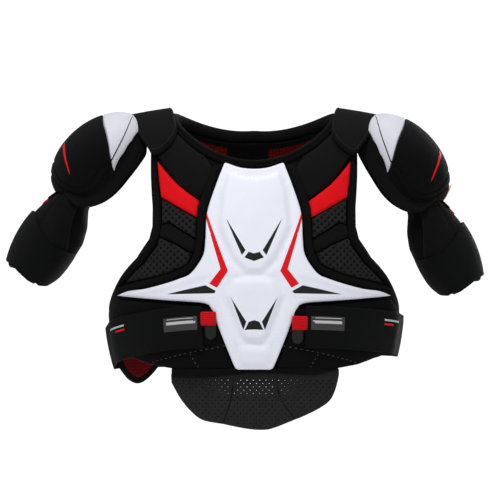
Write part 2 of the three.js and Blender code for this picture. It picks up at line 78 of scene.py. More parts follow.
LINER = (0, 3)  # heights of the layers over the torso surface
FOAM = (5, 11.5)
PANEL = (11.5, 18)
OUTER = (11.5, 21)
SHIELD = (15.5, 20.6)
BRIDGE = (5, 17)
FLAP = (20, 26)
STRAP = (23, 25.5)
WING = (5, 12)
ANCHOR = (14, 16.5)
BELLY_FLAP = (5, 8.6)

NECK_HALF_WIDTH = 106
COLLAR_TOP = 80  # degrees along the shoulder arch at the sides of the neck,
COLLAR_DROP = (71.6, 63)  # and from there to the middle of the front and of the back
COLLAR_WIDTH = 13
COLLAR_THICK = 18
COLLAR_HEIGHT = 9
COLLAR_GAP = 5.5  # from the collar's middle to the layers that it binds, which end under it

CAP_CENTRE = (206, 0, -42)
CAP_CHORD = 64.4  # half sizes of the dome: from its middle to the neck,
CAP_RISE = 39.4  # outward to its pole,
CAP_DEPTH = 69.4  # and to the front
CAP_TILT = 49.7  # degrees by which its pole points up from the side
CAP_HINGE = (163, 12)  # x and z of the line that a cap hangs from
CAP_LINER = (0, 3)
CAP_COVER = (6.8, 10.6)
DOME_SCALE = 1.15  # surface millimetres per degree on the dome

ARM_TOP = (233, 0, -84)
ARM_SLANT = 32  # degrees from straight down
ARM_MIDDLE = 85  # how far down the arm it is widest
ARM_LINER = (0, 3)
ARM_PAD = (6.6, 13)
ARM_BAND = (15, 17.2)
SLEEVE_SCALE = 0.6  # surface millimetres per degree round the sleeve

MESH_PITCH = 8.5  # of the dimples along a row of the spacer mesh
MESH_ROW = 4.3  # between rows, each shifted by half of the pitch
MESH_DEPTH = 1.3
FLAP_HOLE = 0.82  # radius of the holes through the belly flap

# ---- Surfaces -----------------------------------------------------------------------------------


def half_width(z):
    return WAIST_HALF_WIDTH - np.where(z > WAIST_Z, 0.00035, 0.0018) * (z - WAIST_Z) ** 2


def front_depth(z):
    return WAIST_DEPTH - 0.0011 * (z - WAIST_Z) ** 2


def back_depth(z):
    return BLADE_DEPTH - 0.0009 * (z - BLADE_Z) ** 2


def arch_rise(x):
    return ARCH_HEIGHT - SHOULDER_SLOPE * (abs(x) - ARCH_FOOT)


def torso_point(u, v):
    """u runs round the body from the breastbone, v up the front, over the shoulder and down the back."""
    turn = u / ARC_RADIUS
    angle = np.clip(v / ARCH_RUN, 0, 1) * math.pi
    rise = arch_rise(half_width(ARCH_Z) * np.sin(turn)) * np.sin(angle)
    z = ARCH_Z + rise + np.minimum(v, 0) - np.maximum(v - ARCH_RUN, 0)
    on_front = angle < math.pi / 2
    base = np.where(on_front, front_depth(ARCH_Z), back_depth(ARCH_Z))
    front_slope = front_depth(ARCH_Z) - front_depth(ARCH_Z - 1)
    back_slope = back_depth(ARCH_Z) - back_depth(ARCH_Z - 1)
    slope = np.where(on_front, front_slope, back_slope)
    depth = (base + slope * rise) * np.cos(angle)
    below = np.where(np.cos(turn) >= 0, front_depth(z), back_depth(z))
    depth = np.where(v <= 0, below, np.where(v >= ARCH_RUN, -back_depth(z), depth))
    return np.stack([half_width(z) * np.sin(turn), -depth * np.cos(turn), z], axis=-1)


def cap_point(s, t):
    """s runs to the front and t towards the neck, both from the dome's pole."""
    u, v = s / DOME_SCALE, t / DOME_SCALE
    away = np.hypot(u, v) + 1e-9
    reach = np.sin(np.radians(away)) / away
    rise = np.cos(np.radians(away)) * CAP_RISE
    inward = reach * v * CAP_CHORD
    tilt = math.radians(CAP_TILT)
    x = CAP_CENTRE[0] + rise * math.cos(tilt) - inward * math.sin(tilt)
    z = CAP_CENTRE[2] + rise * math.sin(tilt) + inward * math.cos(tilt)
    return np.stack([x, CAP_CENTRE[1] - reach * u * CAP_DEPTH, z], axis=-1)


def on_arm(across, deep, v):
    """Points from how far they are out from the arm's middle line, in front of it and down it."""
    slant = math.radians(ARM_SLANT)
    x = ARM_TOP[0] + v * math.sin(slant) + across * math.cos(slant)
    z = ARM_TOP[2] - v * math.cos(slant) + across * math.sin(slant)
    return np.stack([x, ARM_TOP[1] - deep, z], axis=-1)


def arm_point(s, v):
    """s runs round the arm, from the outside to the front, and v down it."""
    angle = np.radians(s / SLEEVE_SCALE)
    across = 25 - 0.0038 * (v - ARM_MIDDLE) ** 2
    deep = 40 - 0.002 * (v - ARM_MIDDLE) ** 2
    return on_arm(across * np.cos(angle), deep * np.sin(angle), v)


def surface(point_at, facing, step=0.5):
    """Turns surface coordinates and a height along the outward normal into points."""

    def at(places, height):
        u, v = places[..., 0], places[..., 1]
        along_u = point_at(u + step, v) - point_at(u - step, v)
        along_v = point_at(u, v + step) - point_at(u, v - step)
        normal = facing * np.cross(along_u, along_v)
        normal /= np.linalg.norm(normal, axis=-1, keepdims=True)
        return point_at(u, v) + normal * np.broadcast_to(height, u.shape)[..., None]

    return at


torso = surface(torso_point, 1)
cap = surface(cap_point, -1)
arm = surface(arm_point, 1)


def torso_inside(low):
    """The torso's surface from within: a height runs inwards from this one."""

    def at(places, height):
        return torso(places, low - height)

    return at


def seen(points, height, behind=False):
    """Torso coordinates of spots seen squarely from the front or the back, at a height over it."""
    x, z = np.asarray(points, float).T
    v = z - ARCH_Z
    share = np.clip(v / (arch_rise(x) + height), 0, 0.99)
    lean = np.sqrt(1 - share**2)
    v = np.where(v > 0, ARCH_RUN / math.pi * np.arcsin(share), v)
    width = half_width(z) + height * lean
    u = ARC_RADIUS * np.arcsin(np.clip(x / width, -0.996, 0.996))
    return np.stack([u, ARCH_RUN - v if behind else v], axis=-1)


def on_top(x):
    return [ARC_RADIUS * math.asin(x / half_width(ARCH_Z + arch_rise(x))), ARCH_RUN / 2]


def spotted(on, points, height, start):
    """Coordinates of the spots on a dome or sleeve that are seen from the front at these x and z."""
    found = []
    for x, z in points:
        at = np.array(start, float)
        for _ in range(12):
            here = on(at, height)[[0, 2]]
            moves = [on(at + d, height)[[0, 2]] - here for d in ([0.5, 0], [0, 0.5])]
            change = np.stack(moves, axis=1) / 0.5
            at = at + np.clip(np.linalg.lstsq(change, [x, z] - here, rcond=None)[0], -15, 15)
        found.append(at)
    return np.array(found)


# ---- Outlines -----------------------------------------------------------------------------------


def bend(points, steps=4):
    """A smooth curve through a few points."""
    p = np.asarray(points, float)
    p = np.vstack([2 * p[0] - p[1], p, 2 * p[-1] - p[-2]])
    t = np.arange(steps)[:, None] / steps
    runs = []
    for a, b, c, d in zip(p, p[1:], p[2:], p[3:]):
        runs.append(b + 0.5 * t * (c - a + t * (2 * a - 5 * b + 4 * c - d + t * (3 * (b - c) + d - a))))
    return np.vstack([*runs, p[-2]])


def mirrored(points):
    return (np.asarray(points, float) * [-1, 1])[::-1]


def stacked(*parts):
    return np.vstack([np.atleast_2d(np.asarray(p, float)) for p in parts])


def scaled(points, *share):
    return np.asarray(points, float) * share


def closed_loop(outline, spacing):
    """The same closed outline with a point about every spacing."""
    result = []
    for a, b in zip(outline, np.roll(outline, -1, axis=0)):
        count = max(1, round(float(np.linalg.norm(b - a)) / spacing))
        result += [a + (b - a) * i / count for i in range(count)]
    return np.array(result)


def run_along(line):
    """How far along a line each of its points is."""
    return np.concatenate([[0], np.cumsum(np.linalg.norm(np.diff(line, axis=0), axis=1))])


def spaced(line, spacing):
    """An open line with a point about every spacing, evenly along its length."""
    line = np.asarray(line, float)
    run = run_along(line)
    at = np.linspace(0, run[-1], max(2, round(run[-1] / spacing) + 1))
    return np.stack([np.interp(at, run, line[:, k]) for k in range(line.shape[1])], axis=1)


def distance(points, line, closed=False):
    a = line if closed else line[:-1]
    b = np.roll(line, -1, axis=0) if closed else line[1:]
    along = b - a
    length = np.maximum((along**2).sum(1), 1e-12)
    nearest = np.full(len(points), np.inf)
    for start, step, size in zip(a, along, length):
        offset = points - start
        share = np.clip(offset @ step / size, 0, 1)[:, None]
        nearest = np.minimum(nearest, ((offset - share * step) ** 2).sum(1))
    return np.sqrt(nearest)


def inside(points, outline):
    odd = np.zeros(len(points), bool)
    for (ax, ay), (bx, by) in zip(outline, np.roll(outline, -1, axis=0)):
        if ay != by:
            crosses = (ay > points[:, 1]) != (by > points[:, 1])
            odd ^= crosses & (points[:, 0] < (bx - ax) * (points[:, 1] - ay) / (by - ay) + ax)
    return odd


def shrunk(outline, gap):
    """A ring of points inside a closed outline, at a distance from it."""
    forward = np.roll(outline, -1, axis=0) - np.roll(outline, 1, axis=0)
    area = np.sum(outline[:, 0] * np.roll(outline[:, 1], -1) - np.roll(outline[:, 0], -1) * outline[:, 1])
    inward = np.sign(area) * unit(np.stack([-forward[:, 1], forward[:, 0]], axis=1))
    ring = outline + inward * gap
    return ring[inside(ring, outline) & (distance(ring, outline, closed=True) > 0.9 * gap)]


def depth_in(points, outline):
    """Distance to the outline, negative outside it."""
    return np.where(inside(points, outline), 1, -1) * distance(points, outline, closed=True)


def eased(low, high, value):
    t = np.clip((value - low) / (high - low), 0, 1)
    return t * t * (3 - 2 * t)


# ---- Shapes -------------------------------------------------------------------------------------

Shape = namedtuple("Shape", "points faces uv top")  # uv in surface millimetres; top is true on the outside
CROWN_REACH = 18  # how far in from its edge a plate's crown rises


def filled(outline, spacing, edge, holes=None, radius=0.0):
    """Triangles inside an outline, with rings of points close to it that can carry a rounded edge."""
    rim = closed_loop(outline, min(spacing, 4))
    loose = [shrunk(rim, gap) for gap in (0.12 * edge, 0.4 * edge, edge)]
    low, high = rim.min(axis=0), rim.max(axis=0)
    row = spacing * math.sqrt(0.75)
    for k in range(int((high[1] - low[1]) / row) + 1):
        across = np.arange(low[0] + (k % 2) * spacing / 2, high[0], spacing)
        grid = np.stack([across, np.full(len(across), low[1] + k * row)], axis=1)
        loose.append(grid[inside(grid, rim) & (distance(grid, rim, closed=True) > edge + 0.5 * spacing)])
    loose = np.vstack(loose)
    loops = [list(range(len(rim)))]
    fixed = [rim]
    if holes is not None:
        gaps = np.linalg.norm(loose[:, None] - holes[None], axis=2).min(axis=1)
        loose = loose[gaps > radius + 0.3 * spacing]
        angle = 2 * np.pi * np.arange(8) / 8
        ring = radius * np.stack([np.cos(angle), np.sin(angle)], axis=1)
        for k, middle in enumerate(holes):
            loops.append(list(range(len(rim) + 8 * k, len(rim) + 8 * k + 8)))
            fixed.append(middle + ring)
    edges = [(a, b) for loop in loops for a, b in zip(loop, loop[1:] + loop[:1])]
    every = np.vstack([*fixed, loose])
    made = delaunay_2d_cdt([Vector(p) for p in every], edges, [loops[0]], 1, 1e-4)
    points = np.array([tuple(p) for p in made[0]])
    faces = np.array([f for f in made[2] if len(f) == 3])
    if holes is not None:
        middles = points[faces].mean(axis=1)
        gaps = np.linalg.norm(middles[:, None] - holes[None], axis=2).min(axis=1)
        faces = faces[gaps > 0.97 * radius]
    used, renumbered = np.unique(faces, return_inverse=True)
    return points[used], [tuple(f) for f in renumbered.reshape(-1, 3).tolist()]


class Skin:
    """A plate on a surface: its outline, its underside, and how high its outside stands at each spot."""

    def __init__(self, on, outline, heights, edge=3.0, crown=0.0, rim=0.3, grooves=(), relief=None):
        self.on = on
        self.outline = np.asarray(outline, float)
        self.low, self.high = heights
        self.edge = edge
        self.crown = crown
        self.rim = rim
        self.grooves = grooves
        self.relief = relief

    def height(self, places):
        inward = distance(places, self.outline, closed=True)
        bulge = np.sqrt(1 - (1 - np.clip(inward / self.edge, 0, 1)) ** 2)
        height = self.low + (self.high - self.low) * (self.rim + (1 - self.rim) * bulge)
        height = height + self.crown * (1 - np.exp(-inward / CROWN_REACH))
        for line, depth, width in self.grooves:
            near = distance(places, np.asarray(line, float)) / width
            height = height - depth * bulge * np.exp(-(near**2))
        if self.relief is not None:
            height = height + bulge * self.relief(places)
        return height

    def at(self, places, above=0.0):
        places = np.atleast_2d(np.asarray(places, float))
        return self.on(places, self.height(places) + above)


def closed_shape(places, faces, top, bottom):
    """Joins an outside and an underside that share one triangulation, with a wall round every open edge."""
    count = len(places)
    open_edges = {}
    for face in faces:
        for a, b in zip(face, face[1:] + face[:1]):
            if open_edges.pop((b, a), None) is None:
                open_edges[(a, b)] = True
    every = list(faces) + [tuple(i + count for i in reversed(f)) for f in faces]
    every += [(b, a, a + count, b + count) for a, b in open_edges]
    is_top = np.concatenate([np.ones(count, bool), np.zeros(count, bool)])
    return Shape(np.vstack([top, bottom]), every, np.vstack([places, places]), is_top)


def plate(skin, spacing=4.0, holes=None, radius=0.0):
    places, faces = filled(skin.outline, spacing, skin.edge, holes, radius)
    inward = np.clip(distance(places, skin.outline, closed=True) / skin.edge, 0, 1)
    tuck = 0.15 * (skin.high - skin.low) * (1 - inward) ** 2
    return closed_shape(places, faces, skin.at(places), skin.on(places, skin.low + tuck))


def film(skin, outline, thick, spacing=3.0):
    """Something thin laid on a skin, such as a print, a label or a patch."""
    edge, sunk = 0.8, 0.4
    outline = np.asarray(outline, float)
    places, faces = filled(outline, spacing, edge)
    inward = np.clip(distance(places, outline, closed=True) / edge, 0, 1)
    rise = thick * (0.35 + 0.65 * np.sqrt(1 - (1 - inward) ** 2))
    return closed_shape(places, faces, skin.at(places, rise), skin.at(places, -sunk))


def joined(*shapes):
    points, faces, uv, top, first = [], [], [], [], 0
    for shape in shapes:
        points.append(shape.points)
        uv.append(shape.uv)
        top.append(shape.top)
        faces += [tuple(i + first for i in f) for f in shape.faces]
        first += len(shape.points)
    return Shape(np.vstack(points), faces, np.vstack(uv), np.concatenate(top))


def unit(vectors):
    return vectors / np.maximum(np.linalg.norm(vectors, axis=-1, keepdims=True), 1e-9)


def swept_faces(rings, count, first=0):
    """The faces of rings of points that follow each other, with a cap at both ends."""
    faces = []
    for ring in range(rings - 1):
        for k in range(count):
            a, b = first + ring * count + k, first + ring * count + (k + 1) % count
            faces.append((a, b, b + count, a + count))
    last = first + (rings - 1) * count
    return faces + [tuple(reversed(range(first, first + count))), tuple(range(last, last + count))]


def tube(path, out, section, tapered=True):
    """A section swept along a path. The section gives offsets across the path and out along its normal."""
    path, section = np.asarray(path, float), np.asarray(section, float)
    along = unit(np.gradient(path, axis=0))
    out = unit(out - along * (out * along).sum(axis=1, keepdims=True))
    across = np.cross(along, out)
    run, round_section = run_along(path), run_along(section)
    size = np.abs(section).max()
    rings, uv = [], []
    last = len(path) - 1
    shrink = [(0.45, 1.0), (0.82, 0.55), (1.0, 0.0)] if tapered else [(1.0, 0.0)]
    for scale, back in shrink:
        rings.append((0, scale, -back * size * 0.35))
        uv.append(run[0])
    rings += [(i, 1.0, 0.0) for i in range(1, last)]
    uv += list(run[1:last])
    for scale, back in reversed(shrink):
        rings.append((last, scale, back * size * 0.35))
        uv.append(run[last])
    points = []
    for i, scale, shift in rings:
        middle = path[i] + along[i] * shift
        points.append(middle + scale * (section[:, :1] * across[i] + section[:, 1:] * out[i]))
    uv = np.array([[u, v] for u in uv for v in round_section])
    return Shape(np.vstack(points), swept_faces(len(rings), len(section)), uv, np.ones(len(uv), bool))


def oval(across, out, sides=14, crease=0.0, crease_at=1.0):
    angle = 2 * np.pi * np.arange(sides) / sides
    size = 1 - crease * np.exp(-(((angle - crease_at) / 0.25) ** 2))
    return np.stack([across * size * np.cos(angle), out * size * np.sin(angle)], axis=1)


def stitches(skin, line, length, gap, thick, above=0.1):
    """A row of thread stitches along a line on a skin."""
    places = spaced(line, length + gap)
    middles = (places[1:] + places[:-1]) / 2
    steps = unit(np.diff(places, axis=0))
    ends = [skin.at(middles + steps * length * s, above) for s in (-0.5, 0.5)]
    normal = unit(skin.at(middles, above + 1) - skin.at(middles, above))
    along = (ends[1] - ends[0]) / 2
    middle = (ends[0] + ends[1]) / 2
    across = unit(np.cross(along, normal))
    sides = 6
    angle = 2 * np.pi * np.arange(sides) / sides
    rings = [(-1.0, 0.25, -0.5), (-0.72, 0.9, 0.0), (0.0, 1.0, 0.25), (0.72, 0.9, 0.0), (1.0, 0.25, -0.5)]
    points = []
    for share, size, lift in rings:
        for a in angle:
            sideways = across * (thick * size * math.cos(a))
            upward = normal * (thick * (lift + size * math.sin(a)))
            points.append(middle + along * share + sideways + upward)
    points = np.stack(points, axis=1).reshape(-1, 3)
    faces = []
    for first in range(0, len(points), len(rings) * sides):
        faces += swept_faces(len(rings), sides, first)
    return Shape(points, faces, points[:, [0, 2]], np.ones(len(points), bool))


# ---- From shapes to pieces ----------------------------------------------------------------------


def hang(points, turn_degrees):
    """Turns points about the line that a cap hangs from."""
    turn = math.radians(turn_degrees)
    dx, dz = points[:, 0] - CAP_HINGE[0], points[:, 2] - CAP_HINGE[1]
    x = CAP_HINGE[0] + dx * math.cos(turn) + dz * math.sin(turn)
    z = CAP_HINGE[1] - dx * math.sin(turn) + dz * math.cos(turn)
    return np.stack([x, points[:, 1], z], axis=1)


def placed(points, side=None, hung=False):
    """Points of a +X piece moved to its side, and hung as low as that side's arm."""
    if hung:
        points = hang(points, ARM_TURN[side])
    return points * [SIDES[side] if side else 1, 1, 1]


def new_mesh(name, points, faces, uv):
    """A mesh in metres, with its surface coordinates as a UV map."""
    mesh = bpy.data.meshes.new(name)
    mesh.from_pydata([tuple(p) for p in points * MM], [], faces)
    corners = np.empty(len(mesh.loops), int)
    mesh.loops.foreach_get("vertex_index", corners)
    layer = mesh.uv_layers.new(name="Weave")
    layer.data.foreach_set("uv", (uv[corners] * MM).astype(np.float32).ravel())
    bm = bmesh.new()
    bm.from_mesh(mesh)
    bmesh.ops.recalc_face_normals(bm, faces=bm.faces)
    bm.to_mesh(mesh)
    bm.free()
    mesh.polygons.foreach_set("use_smooth", [True] * len(mesh.polygons))
    return mesh


def show(name, shape, look, body, side=None, hung=False, stands_for=(), blend=None):
    """Makes a piece and ties it to its body of the frame. A piece with a blend is tied to no body: its
    placement is baked into its mesh, and the blend, two bodies and the line between them in metres, is not
    otherwise used.
    """
    mesh = new_mesh(name, placed(shape.points, side, hung), shape.faces, shape.uv)
    mesh.materials.append(look)
    piece = bpy.data.objects.new(name, mesh)
    bpy.context.scene.collection.objects.link(piece)
    if blend:
        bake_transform(piece)
    else:
        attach(piece, body)
    if stands_for:
        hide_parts(*stands_for)


def show_pairs(parts, body, hung=False):
    """Makes parts on both sides. {} in body is the side, and a part is what the loop unpacks."""
    for side in SIDES:
        for node, name, form, look, slot, fill in parts:
            nodes = [f"{node}_{side}"] if node else []
            show(f"{name}_{side}", form, look, body.format(side), side, hung, nodes)


PUFF_PRESSURE = 4.0
PUFF_FRAMES = 16
PUFF_PINNED = 1.5  # how far in from the rim a puffed shape is held


def puffed(shape, skin, most):
    """The shape with its outside blown up by a cloth simulation, held along its rim and its sewn lines."""
    mesh = new_mesh("puff", shape.points, shape.faces, shape.uv)
    held = (~shape.top) | (distance(shape.uv, skin.outline, closed=True) < PUFF_PINNED)
    for line, _, width in skin.grooves:
        held |= distance(shape.uv, np.asarray(line, float)) < 0.6 * width
    body = bpy.data.objects.new("puff", mesh)
    bpy.context.scene.collection.objects.link(body)
    group = body.vertex_groups.new(name="held")
    group.add([int(i) for i in np.flatnonzero(held)], 1.0, "REPLACE")
    cloth = body.modifiers.new("cloth", "CLOTH")
    cloth.settings.quality = 4
    cloth.settings.mass = 0.2
    cloth.settings.tension_stiffness = 12
    cloth.settings.compression_stiffness = 12
    cloth.settings.shear_stiffness = 4
    cloth.settings.bending_stiffness = 0.2
    cloth.settings.use_pressure = True
    cloth.settings.uniform_pressure_force = PUFF_PRESSURE
    cloth.settings.vertex_group_mass = "held"
    cloth.settings.effector_weights.gravity = 0
    cloth.point_cache.frame_start = 1
    cloth.point_cache.frame_end = PUFF_FRAMES
    for number in range(1, PUFF_FRAMES + 1):
        bpy.context.scene.frame_set(number)
    result = body.evaluated_get(bpy.context.evaluated_depsgraph_get()).to_mesh()
    after = np.empty(len(result.vertices) * 3)
    result.vertices.foreach_get("co", after)
    body.to_mesh_clear()
    moved = after.reshape(-1, 3) / MM - shape.points
    size = np.linalg.norm(moved, axis=1, keepdims=True)
    moved *= np.minimum(1, most / np.maximum(size, 1e-9))
    bpy.data.objects.remove(body)
    bpy.data.meshes.remove(mesh)
    bpy.context.scene.frame_set(1)
    return shape._replace(points=shape.points + moved)


# ---- Materials ----------------------------------------------------------------------------------


class Look:
    """A material made of nodes. Patterns read the piece's own surface coordinates, in metres."""

    def __init__(self, name, roughness, sheen=0.0, specular=0.4, coat=0.0):
        self.material = bpy.data.materials.new(name)
        self.material.use_nodes = True
        self.tree = self.material.node_tree
        self.shader = self.tree.nodes["Principled BSDF"]
        self.shader.inputs["Roughness"].default_value = roughness
        self.shader.inputs["Sheen Weight"].default_value = sheen
        self.shader.inputs["Sheen Roughness"].default_value = 0.45
        self.shader.inputs["Specular IOR Level"].default_value = specular
        self.shader.inputs["Coat Weight"].default_value = coat
        self.shader.inputs["Coat Roughness"].default_value = 0.35
        self.place = self.add("ShaderNodeTexCoord").outputs["Object"]
        woven = self.add("ShaderNodeUVMap", uv_map="Weave").outputs["UV"]
        split = self.add("ShaderNodeSeparateXYZ", {"Vector": woven})
        self.u, self.v = split.outputs["X"], split.outputs["Y"]

    def add(self, kind, inputs=None, **settings):
        node = self.tree.nodes.new(kind)
        for key, value in settings.items():
            setattr(node, key, value)
        for key, value in (inputs or {}).items():
            if isinstance(value, bpy.types.NodeSocket):
                self.tree.links.new(value, node.inputs[key])
            else:
                node.inputs[key].default_value = value
        return node

    def calc(self, operation, *values):
        return self.add("ShaderNodeMath", dict(enumerate(values)), operation=operation).outputs[0]

    def weighed(self, first, first_share, second, second_share):
        return self.calc("MULTIPLY_ADD", first, first_share, self.calc("MULTIPLY", second, second_share))

    def wave(self, socket, pitch_mm, phase=0.0):
        turned = self.calc("MULTIPLY_ADD", socket, 2 * math.pi / (pitch_mm * MM), phase)
        return self.calc("SINE", turned)

    def noise(self, size_mm, detail=2.0, rough=0.5):
        inputs = {"Vector": self.place, "Scale": 1 / (size_mm * MM), "Detail": detail, "Roughness": rough}
        return self.add("ShaderNodeTexNoise", inputs).outputs["Fac"]

    def cells(self, size_mm):
        inputs = {"Vector": self.place, "Scale": 1 / (size_mm * MM), "Randomness": 1.0}
        return self.add("ShaderNodeTexVoronoi", inputs).outputs["Distance"]

    def spread(self, value, low, high, to_low=0.0, to_high=1.0):
        inputs = {"Value": value, "From Min": low, "From Max": high, "To Min": to_low, "To Max": to_high}
        return self.add("ShaderNodeMapRange", inputs).outputs["Result"]

    def mixed(self, share, first, second):
        return self.add("ShaderNodeMix", {0: share, 6: first, 7: second}, data_type="RGBA").outputs[2]

    def bump(self, height, depth_mm, strength=1.0, under=None):
        inputs = {"Height": height, "Distance": depth_mm * MM, "Strength": strength}
        if under is not None:
            inputs["Normal"] = under
        return self.add("ShaderNodeBump", inputs).outputs["Normal"]

    def finish(self, colour, normal, roughness=None):
        self.tree.links.new(colour, self.shader.inputs["Base Color"])
        self.tree.links.new(normal, self.shader.inputs["Normal"])
        if roughness is not None:
            self.tree.links.new(roughness, self.shader.inputs["Roughness"])
        return self.material


def shade(colour, factor):
    return (*(min(1.0, c * factor) for c in colour), 1.0)


def knit(name, colour, pitch, depth=0.25, roughness=0.85, sheen=0.02, contrast=0.3, specular=0.09):
    """Cloth of crossing yarns, painted lighter on their crowns as a highlight and darker between them as
    shade, with a little fuzz and slow changes of tone.
    """
    look = Look(name, roughness, sheen, specular)
    crossing = look.calc("MULTIPLY", look.wave(look.u, pitch), look.wave(look.v, pitch))
    slow, fuzz = look.noise(22), look.noise(0.9, 3.0)
    # The yarns' height also goes into the colour: painted highlight on their crowns, painted shade between
    # them.
    tone = look.calc("MULTIPLY_ADD", crossing, 0.22, look.weighed(slow, 0.5, fuzz, 0.5))
    colour = look.mixed(tone, shade(colour, 1 - contrast), shade(colour, 1 + contrast))
    normal = look.bump(crossing, depth, 0.7, look.bump(fuzz, 0.35, 0.6, look.bump(slow, 2.0, 0.25)))
    return look.finish(colour, normal, look.spread(fuzz, 0.3, 0.7, roughness - 0.08, roughness + 0.08))


def ribbed(name, colour, pitch):
    """Elastic webbing: cords along its length, crossed by fine yarns, painted lighter on their tops as a
    highlight and darker between them as shade.
    """
    look = Look(name, 0.75, 0.02, 0.1)
    cords = look.wave(look.v, pitch)
    yarns = look.wave(look.u, 0.5 * pitch)
    weave = look.calc("MULTIPLY_ADD", yarns, 0.35, cords)
    slow, fuzz = look.noise(30), look.noise(0.8, 2.0)
    # The weave's height also goes into the colour: painted highlight on the cords and yarns, painted shade
    # between them.
    tone = look.calc("MULTIPLY_ADD", weave, 0.18, look.weighed(slow, 0.6, fuzz, 0.4))
    colour = look.mixed(tone, shade(colour, 0.65), shade(colour, 1.35))
    normal = look.bump(weave, 0.3, 0.8, look.bump(fuzz, 0.2, 0.5))
    return look.finish(colour, normal)


def dimpled(name, colour):
    """Spacer mesh: raised cells of fine yarn, with painted highlight on the yarns and painted shade between
    them, round deep dimples painted near-black as their shade.
    """
    look = Look(name, 0.75, 0.02, 0.12)
    across = look.wave(look.u, MESH_PITCH, math.pi / 2)
    along = look.wave(look.v, 2 * MESH_ROW, math.pi / 2)
    # Painted shade: the dimples are coloured near-black.
    pit = look.spread(look.calc("MULTIPLY", across, along), 0.15, 0.7)
    fuzz, slow = look.noise(0.8, 3.0), look.noise(14)
    yarns = look.calc("MULTIPLY", look.wave(look.u, 0.9), look.wave(look.v, 0.9))
    # The fine yarns' height also goes into the cells' colour: painted highlight on the yarns, painted shade
    # between them.
    tone = look.calc("MULTIPLY_ADD", yarns, 0.25, look.weighed(slow, 0.5, fuzz, 0.5))
    cells = look.mixed(tone, shade(colour, 0.55), shade(colour, 1.5))
    colour = look.mixed(pit, cells, shade(colour, 0.07))
    return look.finish(colour, look.bump(yarns, 0.3, 0.6, look.bump(fuzz, 0.3, 0.5)))


def netted(name, colour, pitch):
    """Lining mesh with small staggered holes."""
    hole = 0.35
    look = Look(name, 0.8, 0.02, 0.1)
    rows = look.calc("ADD", look.wave(look.u, pitch), look.wave(look.v, pitch))
    open_share = look.spread(rows, 2 - 4 * hole, 2.0)
    slow, fuzz = look.noise(18), look.noise(0.7, 2.0)
    body = look.mixed(look.weighed(slow, 0.5, fuzz, 0.5), shade(colour, 0.7), shade(colour, 1.3))
    dark = look.calc("MINIMUM", look.calc("MULTIPLY", open_share, 2.0), 1.0)
    colour = look.mixed(dark, body, shade(colour, 0.12))
    normal = look.bump(look.calc("SUBTRACT", 1.0, open_share), 0.7, 0.9, look.bump(fuzz, 0.3, 0.5))
    return look.finish(colour, normal)


def moulded(name, colour, roughness=0.45, grain=0.5, depth=0.06, coat=0.0, specular=0.5):
    """Smooth skin or plastic with a fine grain and slight unevenness in its gloss."""
    look = Look(name, roughness, 0.0, specular, coat)
    cells = look.cells(grain)
    slow, fine = look.noise(35, 3.0), look.noise(2.2, 3.0)
    tone = look.weighed(slow, 0.7, fine, 0.3)
    colour = look.mixed(tone, shade(colour, 0.93), shade(colour, 1.05))
    normal = look.bump(cells, depth, 0.5, look.bump(fine, 0.12, 0.35))
    return look.finish(colour, normal, look.spread(slow, 0.3, 0.7, roughness - 0.06, roughness + 0.08))


def foamy(name, colour, roughness=0.9):
    """Closed-cell foam with pores."""
    look = Look(name, roughness, 0.02, 0.1)
    pores = look.cells(0.9)
    slow, fine = look.noise(15), look.noise(1.5, 3.0)
    tone = look.weighed(slow, 0.5, pores, 0.5)
    colour = look.mixed(tone, shade(colour, 0.65), shade(colour, 1.3))
    return look.finish(colour, look.bump(pores, 0.3, 0.7, look.bump(fine, 0.4, 0.4)))


WHITE = (0.83, 0.85, 0.93)
BLACK = (0.0046, 0.0040, 0.0042)
DEEP_BLACK = (0.0015, 0.0015, 0.0016)
CHARCOAL = (0.015, 0.0142, 0.015)
RED = (0.74, 0.003, 0.008)
DARK_RED = (0.19, 0.002, 0.004)

WHITE_SKIN = moulded("white_skin", WHITE, 0.5, 0.6, 0.05, 0.0, 0.3)
WHITE_KNIT = knit("white_knit", (0.68, 0.68, 0.75), 1.1, 0.12, 0.6, 0.05, 0.06, 0.3)
BLACK_KNIT = knit("black_knit", BLACK, 1.1)
SMOOTH_KNIT = knit("smooth_black_knit", DEEP_BLACK, 0.8, 0.12, 0.8)
BINDING = knit("binding_tape", BLACK, 0.8, 0.2, 0.85, 0.01, 0.3, 0.06)
SPACER = dimpled("spacer_mesh", CHARCOAL)
ELASTIC = ribbed("black_elastic", (0.0018, 0.002, 0.002), 1.3)
RED_KNIT = knit("red_knit", RED, 1.0, 0.12, 0.7, 0.02, 0.1)
RED_RIBBED = ribbed("red_ribbed", (0.55, 0.005, 0.010), 2.6)
RED_PRINT = moulded("red_print", RED, 0.5, 0.7, 0.05, 0.0, 0.15)
DARK_PRINT = moulded("dark_print", (0.014, 0.014, 0.013), 0.5, 0.7, 0.05, 0.0, 0.15)
RED_LINER = netted("red_liner", DARK_RED, 4.2)
BLACK_LINER = netted("black_liner", BLACK, 3.6)
BLACK_FOAM = foamy("black_foam", DEEP_BLACK)
CHARCOAL_FOAM = foamy("charcoal_foam", (0.0190, 0.0180, 0.0188), 0.7)
CLEAR_PE = moulded("clear_insert", (0.62, 0.63, 0.60), 0.35, 1.5, 0.04, 0.2)
BLACK_PLATE = moulded("black_plate", (0.012, 0.012, 0.013), 0.4, 0.8, 0.08)
WHITE_THREAD = moulded("pale_thread", (0.60, 0.61, 0.67), 0.6, 0.3, 0.1)
GREY_THREAD = moulded("grey_thread", (0.10, 0.10, 0.10), 0.7, 0.3, 0.1)
BLACK_THREAD = moulded("black_thread", (0.02, 0.02, 0.02), 0.7, 0.3, 0.1)
GREY_TAB = knit("grey_label", (0.055, 0.053, 0.053), 0.6, 0.1, 0.5, 0.1, 0.15)
WHITE_PRINT = moulded("white_print", (0.50, 0.50, 0.52), 0.5, 0.5, 0.03)
ORANGE_TAB = knit("orange_tab", (0.75, 0.14, 0.02), 0.8, 0.15, 0.6, 0.2, 0.15)

# ---- Front of the torso -------------------------------------------------------------------------

